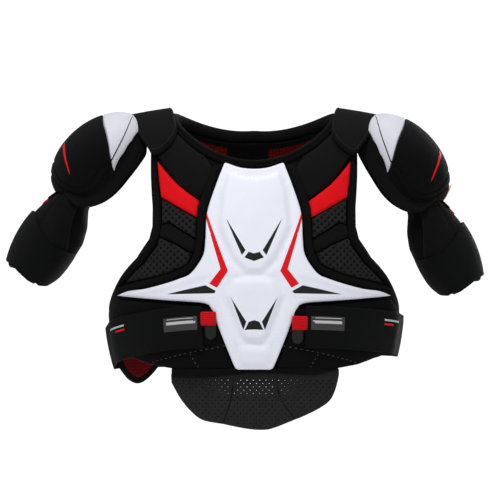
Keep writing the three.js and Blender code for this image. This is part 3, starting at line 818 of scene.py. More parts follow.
# Seen from the front, x outward from the breastbone.
ARMHOLE = [(141, -37), (141, -71), (138, -111), (138, -135), (142, -151), (158, -175), (178, -198),
           (190, -222)]
WING_TOP = [(67, -152), (70, -174), (86, -196), (102, -203.5), (123, -210), (149, -216.5), (171, -219.5),
            (186, -225.5)]
STERNUM_SIDE = [(42, -56), (54, -86), (65, -119), (67, -152)]
FRONT_SPLIT = 62  # where the front's layers end on the shoulder arch, and the back's
BACK_SPLIT = 154
BRIDGE_GAP = 0.1  # between them and the shoulder bridge


def whole(half, height, behind=False):
    """A symmetric outline from its +X half."""
    half = np.asarray(half, float)
    return seen(stacked(half, mirrored(half)), height, behind)


def collar_at(turn_degrees):
    turn = math.radians(turn_degrees)
    angle = COLLAR_TOP - COLLAR_DROP[math.cos(turn) <= 0] * math.cos(turn)
    x = NECK_HALF_WIDTH * math.sin(turn)
    width = half_width(ARCH_Z + arch_rise(x) * math.sin(math.radians(angle)))
    return np.array([ARC_RADIUS * math.asin(x / width), angle / 180 * ARCH_RUN])


def neck_edge(start, end, gap=COLLAR_GAP, count=12):
    """The edge of the layers that the collar binds."""
    result = []
    for turn in np.linspace(start, end, count):
        at, step = collar_at(turn), collar_at(turn + 1) - collar_at(turn)
        result.append(at + gap * np.array([step[1], -step[0]]) / np.linalg.norm(step))
    return np.array(result)


def front_outline(inset, height):
    side = [(196, -240), (198, -262), (194, -288), (174, -303), (140, -312 + inset), (110, -318 + inset)]
    side = np.array(ARMHOLE + side) - [inset, 0]
    half = stacked(neck_edge(0, 63, COLLAR_GAP + inset / 2), [on_top(142 - inset)[0], FRONT_SPLIT],
                   seen(side, height))
    return stacked(half, mirrored(half[1:]))


def sternum_skin():
    half = stacked(
        bend(STERNUM_SIDE, 5), bend(WING_TOP, 4)[1:],
        bend([(186, -226), (121, -231), (74, -234), (62, -237)], 4)[1:],
        bend([(58, -243), (43, -279), (28.5, -312)], 3),
        [(26, -316.5), (22.5, -318.5), (11, -318.5), (1, -318.5)],
    )
    top = bend([(-40, -54.5), (-20, -61.5), (0, -63.5), (20, -61.5), (40, -54.5)], 4)
    outline = seen(stacked(top, half, mirrored(half)), SHIELD[1])
    middle = whole([(0, -77), (20, -75), (35, -69), (43, -92), (48, -138), (27, -178), (10, -194)],
                   SHIELD[1])
    lower = whole([(20, -205), (27, -207), (37, -226), (17, -274), (10, -281)], SHIELD[1])
    tongue = whole([(10, -291), (19, -291), (22, -300), (17, -312)], SHIELD[1])
    outer = seen([(66, -128), (54, -178), (60, -200), (82, -206), (128, -219), (178, -225), (113, -207.5),
                  (87, -198), (72, -176)], SHIELD[1])

    def relief(places):
        rise = np.zeros(len(places))
        for zone, lift, trench in ((middle, 3.4, 1.9), (lower, 3.2, 1.9), (tongue, 1.6, 0.7)):
            deep = depth_in(places, zone)
            rise += lift * eased(-2, 4, deep) - trench * np.exp(-(((deep + 4) / 2.6) ** 2))
        deep = depth_in(places * np.where(places[:, :1] < 0, [[-1, 1]], [[1, 1]]), outer)
        return rise + 1.3 * eased(-2, 2, deep)

    return Skin(torso, outline, SHIELD, edge=3.2, rim=0.35, relief=relief)


def both_sides(*halves):
    """Lines or outlines on both sides, from their +X ones, at the height of the shield."""
    return [seen(scaled(half, sign, 1)[::sign], SHIELD[1]) for half in halves for sign in (1, -1)]


def sternum():
    skin = sternum_skin()
    show("sternum_plate_skin", plate(skin, 3.2), WHITE_SKIN, "torso", stands_for=["sternum_plate"])
    red = both_sides([(65.2, -120), (66.2, -126), (45.5, -191.5), (61, -210), (50.5, -215), (35.5, -194)])
    dark = both_sides(
        [(52, -219), (66, -212), (90, -217), (118, -223.4), (54, -222)],
        [(37.5, -129), (36, -133), (16.5, -174.5), (11.5, -168.5)],
        [(31.5, -227), (29.5, -231), (14.5, -267.5), (10.5, -257.5)],
    )
    dark.append(whole([(0, -172.5), (7.5, -170.5), (13, -177.5), (0, -182)], SHIELD[1]))
    dark.append(whole([(0, -255.5), (7, -257.5), (12.5, -267.5), (0, -267)], SHIELD[1]))
    for name, outlines, look in (("sternum_red_accents", red, RED_PRINT),
                                 ("sternum_dark_accents", dark, DARK_PRINT)):
        prints = [film(skin, outline, 0.35, 2.5) for outline in outlines]
        show(name, joined(*prints), look, "torso")
    lines = both_sides(
        [(40, -72), (47.5, -92), (52.5, -139), (31, -182)],
        [(31, -206), (42.5, -227), (27, -268), (24, -290), (26, -312)],
        [(53, -227.5), (90, -227.5), (130, -226.5), (170, -226)],
    )
    lines = [stitches(skin, line, 1.9, 2.6, 0.24) for line in lines]
    lines.append(stitches(skin, seen(bend([(-36, -67), (0, -76), (36, -67)]), SHIELD[1]), 1.9, 2.6, 0.24))
    show("sternum_thread", joined(*lines), WHITE_THREAD, "torso")


def torso_layers():
    foam = Skin(torso, front_outline(0, FOAM[1]), FOAM, edge=2.5)
    show("front_foam_body", plate(foam, 8), BLACK_FOAM, "torso", stands_for=["front_foam"])
    liner = Skin(torso, front_outline(4, LINER[1]), LINER, edge=2.0)
    show("front_liner_mesh", plate(liner, 8), RED_LINER, "torso", stands_for=["front_liner"])

    def back_outline(inset, height):
        side = np.array([(142, -37), (140, -90), (136, -140), (128, -172), (104, -186), (102, -296),
                         (60, -310)], float)
        side -= [inset, 0]
        side[side[:, 1] < -250, 1] += inset
        half = stacked(neck_edge(180, 126, COLLAR_GAP + inset / 2), [on_top(140 - inset)[0], BACK_SPLIT],
                       seen(side, height, True))
        return stacked(half, mirrored(half[1:]))

    foam = Skin(torso, back_outline(0, FOAM[1]), FOAM, edge=2.5)
    show("back_foam_body", plate(foam, 8), BLACK_FOAM, "torso", stands_for=["back_foam"])
    liner = Skin(torso, back_outline(4, LINER[1]), LINER, edge=2.0)
    show("back_liner_mesh", plate(liner, 8), RED_LINER, "torso", stands_for=["back_liner"])


def mesh_relief(places):
    """Staggered dimples between raised cells."""
    a = places[:, 0] * 2 * np.pi / MESH_PITCH
    b = places[:, 1] * np.pi / MESH_ROW
    return -MESH_DEPTH * np.tanh(1.4 * (np.cos(a) * np.cos(b) - 0.25))


def chest():
    def shape(points):
        return seen(points, PANEL[1])

    def pair(node, name, skin, look, slot, spacing=3.5, fill=None):
        show_pairs([(node, name, plate(skin, spacing), look, slot, fill)], "torso")

    outline = stacked(
        neck_edge(34, 63, COLLAR_GAP + 1), [on_top(139)[0], FRONT_SPLIT],
        shape([(132, -44), (126, -54), (104, -82), (76, -102), (71, -96), (56, -64)]),
    )
    skin = Skin(torso, outline, (PANEL[0], PANEL[1] - 0.5), edge=4, crown=1.8)
    form = puffed(plate(skin, 4), skin, 3.5)
    show_pairs([("chest_panel", "chest_pad", form, BLACK_KNIT, "black_knit", 0.7)], "torso")

    outline = shape([(134.5, -49), (105, -83.5), (76, -104), (79.5, -125), (128, -98.5), (133, -62)])
    pair("red_inset", "red_inset_pad", Skin(torso, outline, PANEL, 3, 0.8), RED_KNIT, "red_knit", fill=0.4)

    outline = shape([(126.5, -100.5), (80, -126.5), (80.5, -152), (117, -130), (126, -133)])
    skin = Skin(torso, outline, PANEL, 3, 0.4, relief=mesh_relief)
    pair("upper_mesh", "upper_mesh_pad", skin, SPACER, "dark_mesh", 1.3, 0.4)
    outline = shape([(117.5, -132), (127, -135), (129, -149), (106, -159), (86, -170), (81, -168),
                     (80.5, -154)])
    pair(None, "mesh_strip", Skin(torso, outline, (PANEL[0], PANEL[1] - 0.8), 3, 0.5), BLACK_KNIT,
         "black_knit")

    outline = stacked(
        shape([(129, -151), (106, -161), (86, -172)]),
        shape(bend([(92, -185), (122, -197), (152, -204), (174, -208)], 3)),
        shape([(148, -183), (132, -161)]),
    )
    skin = Skin(torso, outline, PANEL, 3, 0.4, relief=mesh_relief)
    pair("lower_mesh", "lower_mesh_pad", skin, SPACER, "dark_mesh", 1.3, 0.4)

    inner = stacked([(44, -55), (55, -86), (66, -119.5), (68, -152)],
                    np.array(bend(WING_TOP, 4)[5:]) + [0.6, 1.0])
    outer = stacked([(57, -57), (68, -84), (78.5, -112), (79.5, -152)],
                    bend([(82, -170), (92, -185.5), (122, -198), (160, -207), (186, -215)], 4))
    skin = Skin(torso, shape(stacked(inner, outer[::-1])), (PANEL[0], PANEL[1] + 0.6), edge=5, rim=0.2)
    pair("plate_band", "plate_band_tape", skin, BINDING, "black_knit", 2.6)

    inner = [(136.5, -46), (134.5, -71), (129, -106), (128.5, -136), (131, -153), (149, -180), (168, -198),
             (184, -213)]
    outer = bend(ARMHOLE, 3)[2:]
    skin = Skin(torso, shape(stacked(outer, bend(inner, 3)[::-1])), PANEL, edge=5, rim=0.2)
    pair("armhole_binding", "armhole_tape", skin, BINDING, "black_knit", 2.6)


def waist():
    outline = seen([(60, -240), (121, -235), (184, -230), (191, -240), (193, -264), (187, -288),
                    (168, -303), (141, -313), (112, -318), (30, -318)], PANEL[1])
    skin = Skin(torso, outline, PANEL, edge=3.5, crown=0.8, grooves=[
        (seen([(139, -310), (88, -297), (37, -288)], PANEL[1]), 1.0, 2.2),
        (seen([(88, -297), (75, -318)], PANEL[1]), 1.0, 2.2)])
    form = plate(skin, 4)
    seams = joined(*[stitches(skin, line, 3.0, 3.2, 0.42, 0.15) for line, _, _ in skin.grooves])
    parts = [
        ("waist_panel", "waist_pad", form, SMOOTH_KNIT, "black_elastic", 0.5),
        (None, "waist_thread", seams, GREY_THREAD, None, None),
    ]
    show_pairs(parts, "torso")

    low = bend([(-114, -330.5), (-74, -331), (-48, -329), (-12, -325.5), (23, -325), (49, -326), (85, -327),
                (108, -322), (119, -316)], 3)
    high = [(123, -309), (108, -312), (31, -316), (0, -316), (-31, -316), (-80, -316.5), (-114, -316)]
    skin = Skin(torso, seen(stacked(low, high), PANEL[1]), (PANEL[0] - 3, PANEL[1] + 1.5), edge=6, rim=0.15)
    show("hem_roll", plate(skin, 3), BINDING, "torso", stands_for=["hem_binding"])


# ---- Collar and shoulders -----------------------------------------------------------------------


def collar():
    section = oval(COLLAR_WIDTH / 2, COLLAR_THICK / 2, 26, 0.26, 1.2)
    for name, start, end in (("front", -91, 91), ("back", 89, 271)):
        places = np.array([collar_at(turn) for turn in np.linspace(start, end, 72)])
        path = torso(places, COLLAR_HEIGHT)
        roll = tube(path, path - torso(places, 0.0), section)
        show(f"neck_roll_{name}", roll, BINDING, "torso", stands_for=[f"collar_{name}"])
        middle, step = (path[35] + path[36]) / 2, unit(path[36] - path[35])
        line = middle + step * np.linspace(-0.45, 0.45, 4)[:, None]
        seam = tube(line, np.repeat([path[35] - torso(places[35:36], 0.0)[0]], 4, axis=0), section * 1.02,
                    tapered=False)
        show(f"neck_seam_{name}", seam, BLACK_FOAM, "torso")

    inside_back = torso_inside(LINER[0])
    tape = stacked(neck_edge(112, 180, 3), mirrored(neck_edge(112, 180, 3))[1:])
    tape = stacked(tape, stacked(neck_edge(112, 180, 11), mirrored(neck_edge(112, 180, 11))[1:])[::-1])
    show("neck_tape", plate(Skin(inside_back, tape, (0, 2.4), 2.0), 3.5), SMOOTH_KNIT, "torso")
    patch_outline = seen([(-36, -22), (19, -22), (19, -80), (12, -88), (-29, -88), (-36, -80)], 0, True)
    patch_skin = Skin(inside_back, patch_outline, (0, 3.2), 2.5, 0.6,
                      grooves=[(seen([(8, -22), (8, -88)], 0, True), 1.2, 1.4)])
    show("neck_patch", plate(patch_skin, 3.5), BLACK_FOAM, "torso")


def shoulders():
    back_end, front_end = BACK_SPLIT - BRIDGE_GAP, FRONT_SPLIT + BRIDGE_GAP
    outline = stacked(neck_edge(64, 124), [on_top(142)[0], back_end], on_top(148),
                      [on_top(144)[0], front_end])
    skin = Skin(torso, outline, BRIDGE, edge=4, crown=0.5)
    bridge = puffed(plate(skin, 4), skin, 2)
    front = seen([(107, -3), (111, -15), (119, -28), (130, -37), (138, -41), (144, -38), (151, -24),
                  (157, -9)], FLAP[1])
    back = front * [1, -1] + [0, ARCH_RUN]
    outline = stacked(front, on_top(160), back[::-1], on_top(105.5))
    outline = bend(stacked(outline, outline[:1]), 3)[:-1]
    skin = Skin(torso, outline, FLAP, edge=3, crown=0.8)
    flap = puffed(plate(skin, 4), skin, 2.5)
    hem = outline + 4.5 * unit(outline.mean(axis=0) - outline)
    seam = stitches(skin, stacked(hem, hem[:1]), 2.6, 1.8, 0.3, 0.6)
    parts = [
        ("shoulder_bridge", "bridge_pad", bridge, BLACK_KNIT, "black_foam", 0.8),
        ("shoulder_flap", "flap_pad", flap, BLACK_KNIT, "black_knit", 0.5),
        (None, "flap_thread", seam, BLACK_THREAD, None, None),
    ]
    show_pairs(parts, "torso")


# ---- Back of the torso --------------------------------------------------------------------------


def back():
    def behind(points):
        return seen(points, OUTER[1], True)

    outline = behind([(44, -52), (66, -50), (84, -46), (134, -46), (132, -70), (128, -130), (110, -168),
                      (44, -186)])
    seams = [(behind([(46, -110), (128, -96)]), 2.5, 2.5)]
    blade = Skin(torso, outline, OUTER, edge=5, crown=1.5, grooves=seams)
    outline = behind([(44, -190), (96, -184), (98, -292), (58, -304), (44, -306)])
    seams = [(behind([(44, -228), (98, -224)]), 2.5, 2.5), (behind([(44, -266), (98, -262)]), 2.5, 2.5)]
    loin = Skin(torso, outline, OUTER, edge=5, crown=1.5, grooves=seams)
    pads = [("scapula_pad", "blade_pad", blade, BLACK_KNIT, "black_knit"),
            ("loin_pad", "loin_cushion", loin, SPACER, "dark_mesh")]
    for node, name, skin, look, slot in pads:
        form = puffed(plate(skin, 4), skin, 4)
        show_pairs([(node, name, form, look, slot, 0.8)], "torso")

    outline = whole([(30, -49), (35, -53), (40, -64), (40, -294), (36, -304), (28, -310)], OUTER[1], True)
    steps = [(behind([(-40, z), (40, z)]), 3.0, 2.4) for z in (-90, -254, -278)]
    skin = Skin(torso, outline, OUTER, edge=4, crown=1.0, grooves=steps)
    show("spine_foam", plate(skin, 4), BLACK_FOAM, "torso", stands_for=["spine_guard"])

    def flat(places, height):
        return np.stack([places[:, 0], np.broadcast_to(height, len(places)), places[:, 1]], axis=1)

    half = [(15, -95), (21, -96.5), (25.5, -101), (27, -107), (27, -233), (25.5, -239), (21, -243.5),
            (15, -245)]
    vents = [([(-14, z), (14, z)], 1.6, 3.0) for z in range(-118, -240, -17)]
    skin = Skin(flat, stacked(half, mirrored(half)), (115, 130.4), edge=2.2, grooves=vents, rim=0.84)
    show("spine_shield", plate(skin, 2.2), BLACK_PLATE, "torso", stands_for=["spine_plate"])


# ---- Belly flap ---------------------------------------------------------------------------------

BELLY_EDGE = [(-111.5, -338), (-99, -360), (-82, -379), (-67, -388), (-41, -392.5), (-13, -398), (9, -400),
              (25, -398), (49, -389), (67, -382), (88, -372), (102, -362), (108, -352), (112, -340)]
BACKING_TOP_Z = -349  # below this the holes end at a dark backing
THREAD_TOP_Z = -338
HOLES_TOP_Z = -334.5


def belly_flap():
    low, high = BELLY_FLAP
    outline = seen(stacked([(-110, -321), (-112, -328)], bend(BELLY_EDGE, 3),
                           [(114.5, -328), (114.5, -320)]), high)
    rows = []
    for k, z in enumerate(np.arange(HOLES_TOP_Z, -400, -MESH_ROW)):
        for x in np.arange(-120 + (k % 2) * MESH_PITCH / 2, 120, MESH_PITCH):
            rows.append((x, z))
    holes = seen(rows, high)
    seams = [seen(bend([(-28, -328), (-29, -345), (-33, -366), (-42, -390)], 4), high),
             seen(bend([(28, -328), (32, -347), (40, -366), (55, -384)], 4), high)]
    clear = depth_in(holes, outline) > 4.5
    for seam in seams:
        clear &= distance(holes, seam) > 3.0
    skin = Skin(torso, outline, (low, high), edge=3, crown=0.6,
                grooves=[(seam, 2.4, 2.4) for seam in seams])
    flap = plate(skin, 3.4, holes[clear], FLAP_HOLE)
    fold = Vector((0, -0.119, -0.328))
    blend = ("torso", "belly", fold + Vector((0, 0, 0.004)), fold - Vector((0, 0, 0.006)))
    backing = shrunk(closed_loop(outline[outline[:, 1] < BACKING_TOP_Z - ARCH_Z], 4), 2.5)
    form = plate(Skin(torso, backing, (low - 1.6, low - 0.2), 1.0), 6)
    bare = [seam[seam[:, 1] < THREAD_TOP_Z - ARCH_Z] for seam in seams]
    threads = joined(*[stitches(skin, seam, 3.4, 0.5, 1.0) for seam in bare])
    show("belly_flap_thread", threads, BLACK_FOAM, "belly")
    show("belly_flap_backing", form, BLACK_LINER, "belly")
    show("belly_flap_mesh", flap, CHARCOAL_FOAM, "belly", stands_for=["belly_flap"],
         blend=blend)


# ---- Kidney wings and side straps ---------------------------------------------------------------

STRAP_BREADTH = 52
STRAP_TURNS = (20, 97)  # degrees round the torso, from its loose end to its anchor
TAB_HEIGHT = 17.5
TAB_LIFT = {"right": 19.0, "left": 13.5}  # how far the red tab reaches above the strap's middle


def round_to(turn_degrees):
    return ARC_RADIUS * math.radians(turn_degrees)


def wing_outline(side):
    low, top = WING_BOTTOM[side], -168
    lobe = [(97, low + 18), (106, low + 4), (115, low), (126, low + 10), (136, low + 28)]
    return stacked(
        [(round_to(143), top + 12), (round_to(110), top + 4), (round_to(95), top - 5),
         (round_to(92), top - 10), (round_to(92), low + 36)],
        bend([(round_to(turn), v) for turn, v in lobe], 4), [(round_to(143), low + 34)],
    )


def wings():
    for side in SIDES:
        outline = wing_outline(side)
        skin = Skin(torso, outline, WING, edge=3.5, crown=0.5)
        form = puffed(plate(skin, 4.5), skin, 2.5)
        show(f"wing_cushion_{side}", form, BLACK_KNIT, f"wing_{side}", side,
             stands_for=[f"wing_pad_{side}"])
        lining = shrunk(closed_loop(outline, 4), 7.5)
        skin = Skin(torso_inside(WING[0]), lining, (0, 2.2), edge=2, crown=0.6)
        show(f"wing_lining_{side}", plate(skin, 5), RED_LINER, f"wing_{side}", side)

        edge = round_to(180) - seen([(99.5, -260)], WING[1], True)[0][0]
        tab = [(edge, -176), (edge, -212), (round_to(139), -212), (round_to(139), -176)]
        form = plate(Skin(torso, tab, (WING[1] + 0.4, WING[1] + 1.8), edge=0.7), 2.5)
        start, end = (Vector((SIDES[side] * x, y, -0.26)) for x, y in ((0.102, 0.094), (0.113, 0.085)))
        show(f"wing_hinge_{side}", form, ELASTIC, f"wing_{side}", side,
             blend=("torso", f"wing_{side}", start, end))


def strap_surface(places, height):
    share = eased(64, 80, np.degrees(places[:, 0] / ARC_RADIUS))
    return torso(places, height - 8 * share)


def strap_middle(side, turn):
    return -194 - STRAP_DROP[side] * np.clip((turn - 22) / 66, 0, 1) ** 1.4


def patch(side, start, end, above, below, count=6):
    """An upright patch on a strap, between two angles, that reaches above and below the strap's middle."""
    turns = np.linspace(start, end, count)
    middle = np.stack([round_to(1) * turns, strap_middle(side, turns)], axis=1)
    return stacked(middle - [0, below], middle[::-1] + [0, above])


def strap_band(side, start, end, breadth=STRAP_BREADTH):
    return patch(side, start, end, breadth / 2, breadth / 2, 14)


def straps():
    for side, sign in SIDES.items():
        strap, wing = f"strap_{side}", f"wing_{side}"
        rims = strap_band(side, *STRAP_TURNS, STRAP_BREADTH - 5).reshape(2, -1, 2)
        end_seam = strap_band(side, 22.0, 22.1)[[0, -1]]
        skin = Skin(strap_surface, strap_band(side, *STRAP_TURNS), STRAP, edge=1.2, rim=0.4,
                    grooves=[(rims[0], 0.5, 1.0), (rims[1], 0.5, 1.0), (end_seam, 0.7, 1.2)])
        start, end = (sign * 0.2, 0.016, -0.27), (sign * 0.2, -0.02, -0.27)
        show(f"strap_band_{side}", plate(skin, 3), ELASTIC, strap, side, stands_for=[f"side_strap_{side}"],
             blend=(wing, strap, start, end))
        anchor = Skin(torso, strap_band(side, 95, 138), ANCHOR, edge=1.2, rim=0.4)
        show(f"anchor_band_{side}", plate(anchor, 3.5), ELASTIC, wing, side,
             stands_for=[f"strap_anchor_{side}"])
        strap_fittings(side, skin, strap)


def strap_fittings(side, skin, strap):
    lift = TAB_LIFT[side]
    ribs = []
    for turn in (16.0, 17.5, 19.0):
        ribs.append((patch(side, turn, turn + 0.05, lift, TAB_HEIGHT - lift)[[0, -1]], 0.7, 0.9))
    outline = patch(side, 14.6, 20.7, lift, TAB_HEIGHT - lift)
    tab = Skin(strap_surface, outline, (STRAP[0] - 2.2, STRAP[1] + 1.1), edge=1.4, grooves=ribs)
    show(f"strap_tab_{side}", plate(tab, 1.6), RED_RIBBED, strap, side)
    pull_half = [(6, lift - 16), (6, lift - 29), (4.5, lift - 33), (0, lift - 35.5)]
    pull_outline = stacked(pull_half, mirrored(pull_half)[1:]) + [round_to(17), strap_middle(side, 17)]
    pull = Skin(strap_surface, pull_outline, (STRAP[0] - 3, STRAP[1] - 0.6), edge=2.0)
    show(f"strap_pull_{side}", plate(pull, 2), DARK_PRINT, strap, side)
    label = film(skin, patch(side, 21.9, 36.2, 13.5, 3.5), 0.5)
    show(f"strap_label_{side}", label, GREY_TAB, strap, side)
    bars = [film(skin, patch(side, 22.6, 35.6, *reach), 0.75) for reach in ((12, -10.9), (8.4, -4.6))]
    show(f"strap_label_bars_{side}", joined(*bars), WHITE_PRINT, strap, side)
    marks = ((WHITE_PRINT, 57.5, 70, 15.5, -13.2), (RED_PRINT, 57.5, 64, 10.5, -8.2))
    for k, (look, *where) in enumerate(marks):
        show(f"strap_mark_{k}_{side}", film(skin, patch(side, *where), 0.5), look, strap, side)
    loops = Skin(torso, patch(side, 15.5, 40, 22, 22), (PANEL[1] + 0.2, STRAP[0] - 2.6), edge=1.2)
    show(f"loop_patch_{side}", plate(loops, 4), SMOOTH_KNIT, "torso", side)


# ---- Shoulder caps ------------------------------------------------------------------------------

RIM = bend(scaled([(0, 73), (25, 76), (54, 77), (96, 53), (124, 4), (117, -54), (84, -95), (62, -91),
                   (32, -86), (0, -86)],
                  DOME_SCALE), 4)
CAP_FOLDS = [  # embossed lines inside the rim, which rise towards the outside
    [(113, 8), (110, -42), (88, -76), (58, -78), (28, -66), (0, -60)],
    [(104, 2), (100, -40), (78, -66), (52, -64), (26, -50), (0, -43)],
]
# The crown's neck side is tucked under the shoulder flap.
CROWN_NECK = scaled([(0, 82), (25, 84), (52, 83), (76, 68), (98, 46)], DOME_SCALE)
CROWN_EDGE = bend(scaled([(122, 6), (79, 26), (40, 32), (0, 35)], DOME_SCALE), 4)
COVER_EDGE = bend(scaled([(0, 34.3), (40, 31.3), (79, 25.3), (122, 5)], DOME_SCALE), 4)
FLANGE_WIDTH = 20
FLANGE_PATH = [  # dome degrees where the flange leaves the shell, and its free edge in the cap's frame
    ((0, 73), (-66.5, 0, -8)), ((28, 76), (-64, -19, 8)), ((50, 77.5), (-59, -27, 20)),
    ((74, 68), (-49.5, -35.5, 33)), ((94, 54), (-37, -44, 37.5)), ((112, 28), (-12, -53.5, 43)),
    ((122.5, -20), (14.5, -55.5, 48)), ((112, -62), (37, -54, 46.5)), ((84, -94.5), (57.5, -52, 38)),
    ((62, -91), (66.5, -50, 26)), ((46, -88), (68.5, -46, 15)), ((26, -85.5), (69.5, -31, 5)),
]
CAP_TAG = [  # the orange tab and its tail, in dome degrees, with heights over the dome
    (12, -93, 11.2), (12, -88, 11.2), (12, -83, 11.3), (13, -76, 11.6), (14, -62, 13.6),
]


def both_halves(half):
    return stacked(half, (half[1:-1] * [-1, 1])[::-1])


def flange_surface():
    """s runs from the neck side round the front of the cap, t from the shell's rim to the free edge."""
    inner = cap(bend([root for root, _ in FLANGE_PATH], 8) * DOME_SCALE, 1.5)
    outward, y, below = bend([edge for _, edge in FLANGE_PATH], 8).T
    tilt = math.radians(CAP_TILT)
    x = CAP_CENTRE[0] + outward * math.sin(tilt) - below * math.cos(tilt)
    z = CAP_CENTRE[2] - outward * math.cos(tilt) - below * math.sin(tilt)
    outer = np.stack([x, y, z], axis=1)
    run = run_along((inner + outer) / 2)

    def point_at(s, t):
        a, b = (np.stack([np.interp(s, run, row) for row in line.T], axis=-1) for line in (inner, outer))
        return a + (b - a) * (t / FLANGE_WIDTH)[..., None]

    return surface(point_at, -1, 2.0), run[-1]


def caps():
    crown = Skin(cap, both_halves(stacked(CROWN_NECK, CROWN_EDGE)), CAP_COVER, edge=2.0, crown=0.5)
    rim_lines = []
    for line in CAP_FOLDS:
        line = bend(scaled(line, DOME_SCALE), 3)
        rim_lines += [(line, 1.7, 2.0), (line * [-1, 1], 1.7, 2.0)]
    cover_half = stacked(COVER_EDGE, RIM[17:] * 1.01)
    cover = Skin(cap, both_halves(cover_half), CAP_COVER, edge=2.0, crown=0.5, grooves=rim_lines)
    liner = Skin(cap, both_halves(RIM * 0.93), CAP_LINER, edge=2.0)
    fold, length = flange_surface()
    ribs = [([(2, t), (length - 14, t)], 0.8, 1.2) for t in (6.5, 10.5, 14.5)]
    outline = [(0, 0), (length, 0), (length, 8), (length - 12, 16), (length - 30, FLANGE_WIDTH),
               (0, FLANGE_WIDTH)]
    front = plate(Skin(fold, outline, (0, 5.5), edge=2.8, crown=0.6, grooves=ribs), 3.4)
    flange = joined(front, front._replace(points=front.points * [1, -1, 1]))
    stripe = spotted(cap, bend([(254.5, -26), (251, -45), (244, -65)], 2), CAP_COVER[1], (70, -60))
    stripe = stacked(stripe, (stripe + [-1.8, 5.2])[::-1])
    stripes = joined(film(cover, stripe, 0.5, 2), film(cover, stripe * [-1, 1], 0.5, 2))
    seam = spotted(cap, bend([(162, 13), (172, -12.5), (180.5, -30), (189.5, -48)], 3), CAP_COVER[1],
                   (60, 60))
    seams = []
    for line in (seam, seam * [-1, 1]):
        seams.append(film(crown, stacked(line + [0.9, 0.3], line[::-1] - [0.9, 0.3]), 0.6, 2))
    parts = [
        ("cap_crown", "crown_skin", plate(crown, 4), WHITE_KNIT, "white_skin", None),
        ("cap_cover", "cover_skin", plate(cover, 2.4), SMOOTH_KNIT, "black_knit", None),
        ("cap_liner", "cap_lining", plate(liner, 6), BLACK_LINER, "black_foam", None),
        ("cap_flange", "flange_foam", flange, BLACK_KNIT, "black_foam", None),
        (None, "cap_stripes", stripes, RED_PRINT, None, None),
        (None, "cap_seam", joined(*seams), DARK_PRINT, None, None),
    ]
    show_pairs(parts, "cap_{}", hung=True)


# ---- Arms ---------------------------------------------------------------------------------------


def sleeve(points):
    return scaled(points, SLEEVE_SCALE, 1)


def sleeve_point(s, v):
    """The knit sleeve inside the arm guard, from the hollow of the cap down to the elastic."""
    angle = np.radians(s / SLEEVE_SCALE)
    inner_side = np.interp(v, [-12, 8, 20, 40, 60, 85], [15, 18, 21, 32, 38, 38])
    outer_side = np.interp(v, [-12, 20, 40, 60, 85], [12, 15, 21, 25, 26])
    across = np.where(np.cos(angle) < 0, inner_side, outer_side)
    deep = np.interp(v, [-12, 20, 85], [28, 33, 42])
    return on_arm(across * np.cos(angle), deep * np.sin(angle), v)


def body_blend(side):
    """The cap, the arm and the line between them, in metres, for the stretch of sleeve that is sewn into
    the cap and runs down the arm below it.
    """
    ends = []
    for x, z in ((234, -86), (246, -105)):
        ends.append(Vector(placed(np.array([[x, 0.0, z]]), side, True)[0] * MM))
    return (f"cap_{side}", f"arm_{side}", *ends)


def arms():
    outline = sleeve([(-176, -10), (176, -10), (176, 84), (-176, 84)])
    knit_sleeve = plate(Skin(surface(sleeve_point, 1), outline, (1, 4), 1.5), 4)
    pad_outline = sleeve([(-116, 16), (-60, 11), (0, 10), (60, 11), (104, 14), (109, 26), (116, 44),
                          (132, 66), (152, 84), (156, 98), (148, 120), (130, 131), (116, 137), (98, 137.5),
                          (78, 135), (58, 132.5), (26, 134), (0, 132.5), (-40, 131.5), (-80, 130),
                          (-116, 122)])
    ridges = [sleeve([(58, 18), (62, 60), (58, 92)]), sleeve([(92, 20), (97, 44), (112, 68), (124, 92)])]
    pad_skin = Skin(arm, pad_outline, ARM_PAD, edge=3.5, crown=0.5,
                    grooves=[(line, 2.2, 1.8) for line in ridges])
    pad = puffed(plate(pad_skin, 4), pad_skin, 1.6)
    outline = sleeve([(-160, 72), (-40, 60), (20, 60), (48, 63), (75, 76), (100, 83), (150, 79), (186, 73),
                      (196, 72), (196, 104), (180, 111.5), (152, 128), (124, 133.5), (100, 132.5),
                      (80, 130), (58, 127.5), (26, 128.5), (0, 127.5), (-100, 125), (-160, 116)])
    band_skin = Skin(arm, outline, ARM_BAND, edge=1.2, rim=0.4)
    liner = Skin(arm, sleeve([(-112, 36), (0, 30), (148, 36), (148, 118), (60, 128), (-60, 128),
                              (-112, 118)]), ARM_LINER, 2.0)
    hanger = Skin(arm, sleeve([(-16, 18), (16, 18), (13, 47), (-13, 47)]),
                  (ARM_PAD[1] - 1.5, ARM_PAD[1] + 1.8), 1.5)
    tape = Skin(arm, sleeve([(-24, 12), (24, 12), (22, 38), (-22, 38)]), (ARM_PAD[1] - 1.5, ARM_PAD[1] + 3),
                1.5)
    parts = [
        ("arm_pad", "arm_cushion", pad, BLACK_KNIT, "black_knit", 0.8),
        (None, "arm_knit", knit_sleeve, SMOOTH_KNIT, "black_knit", None),
        ("arm_band", "arm_elastic", plate(band_skin, 3), ELASTIC, "black_elastic", None),
        ("arm_liner", "arm_lining", plate(liner, 5), BLACK_LINER, "black_foam", None),
        ("arm_hanger", "arm_loop", plate(hanger, 2), RED_KNIT, "red_knit", None),
        (None, "arm_tape", plate(tape, 2), BINDING, "black_knit", None),
    ]
    for side in SIDES:
        for node, name, form, look, slot, fill in parts:
            nodes = [f"{node}_{side}"] if node else []
            blend = body_blend(side) if name in ("arm_cushion", "arm_knit") else None
            show(f"{name}_{side}", form, look, f"arm_{side}", side, True, nodes, blend)


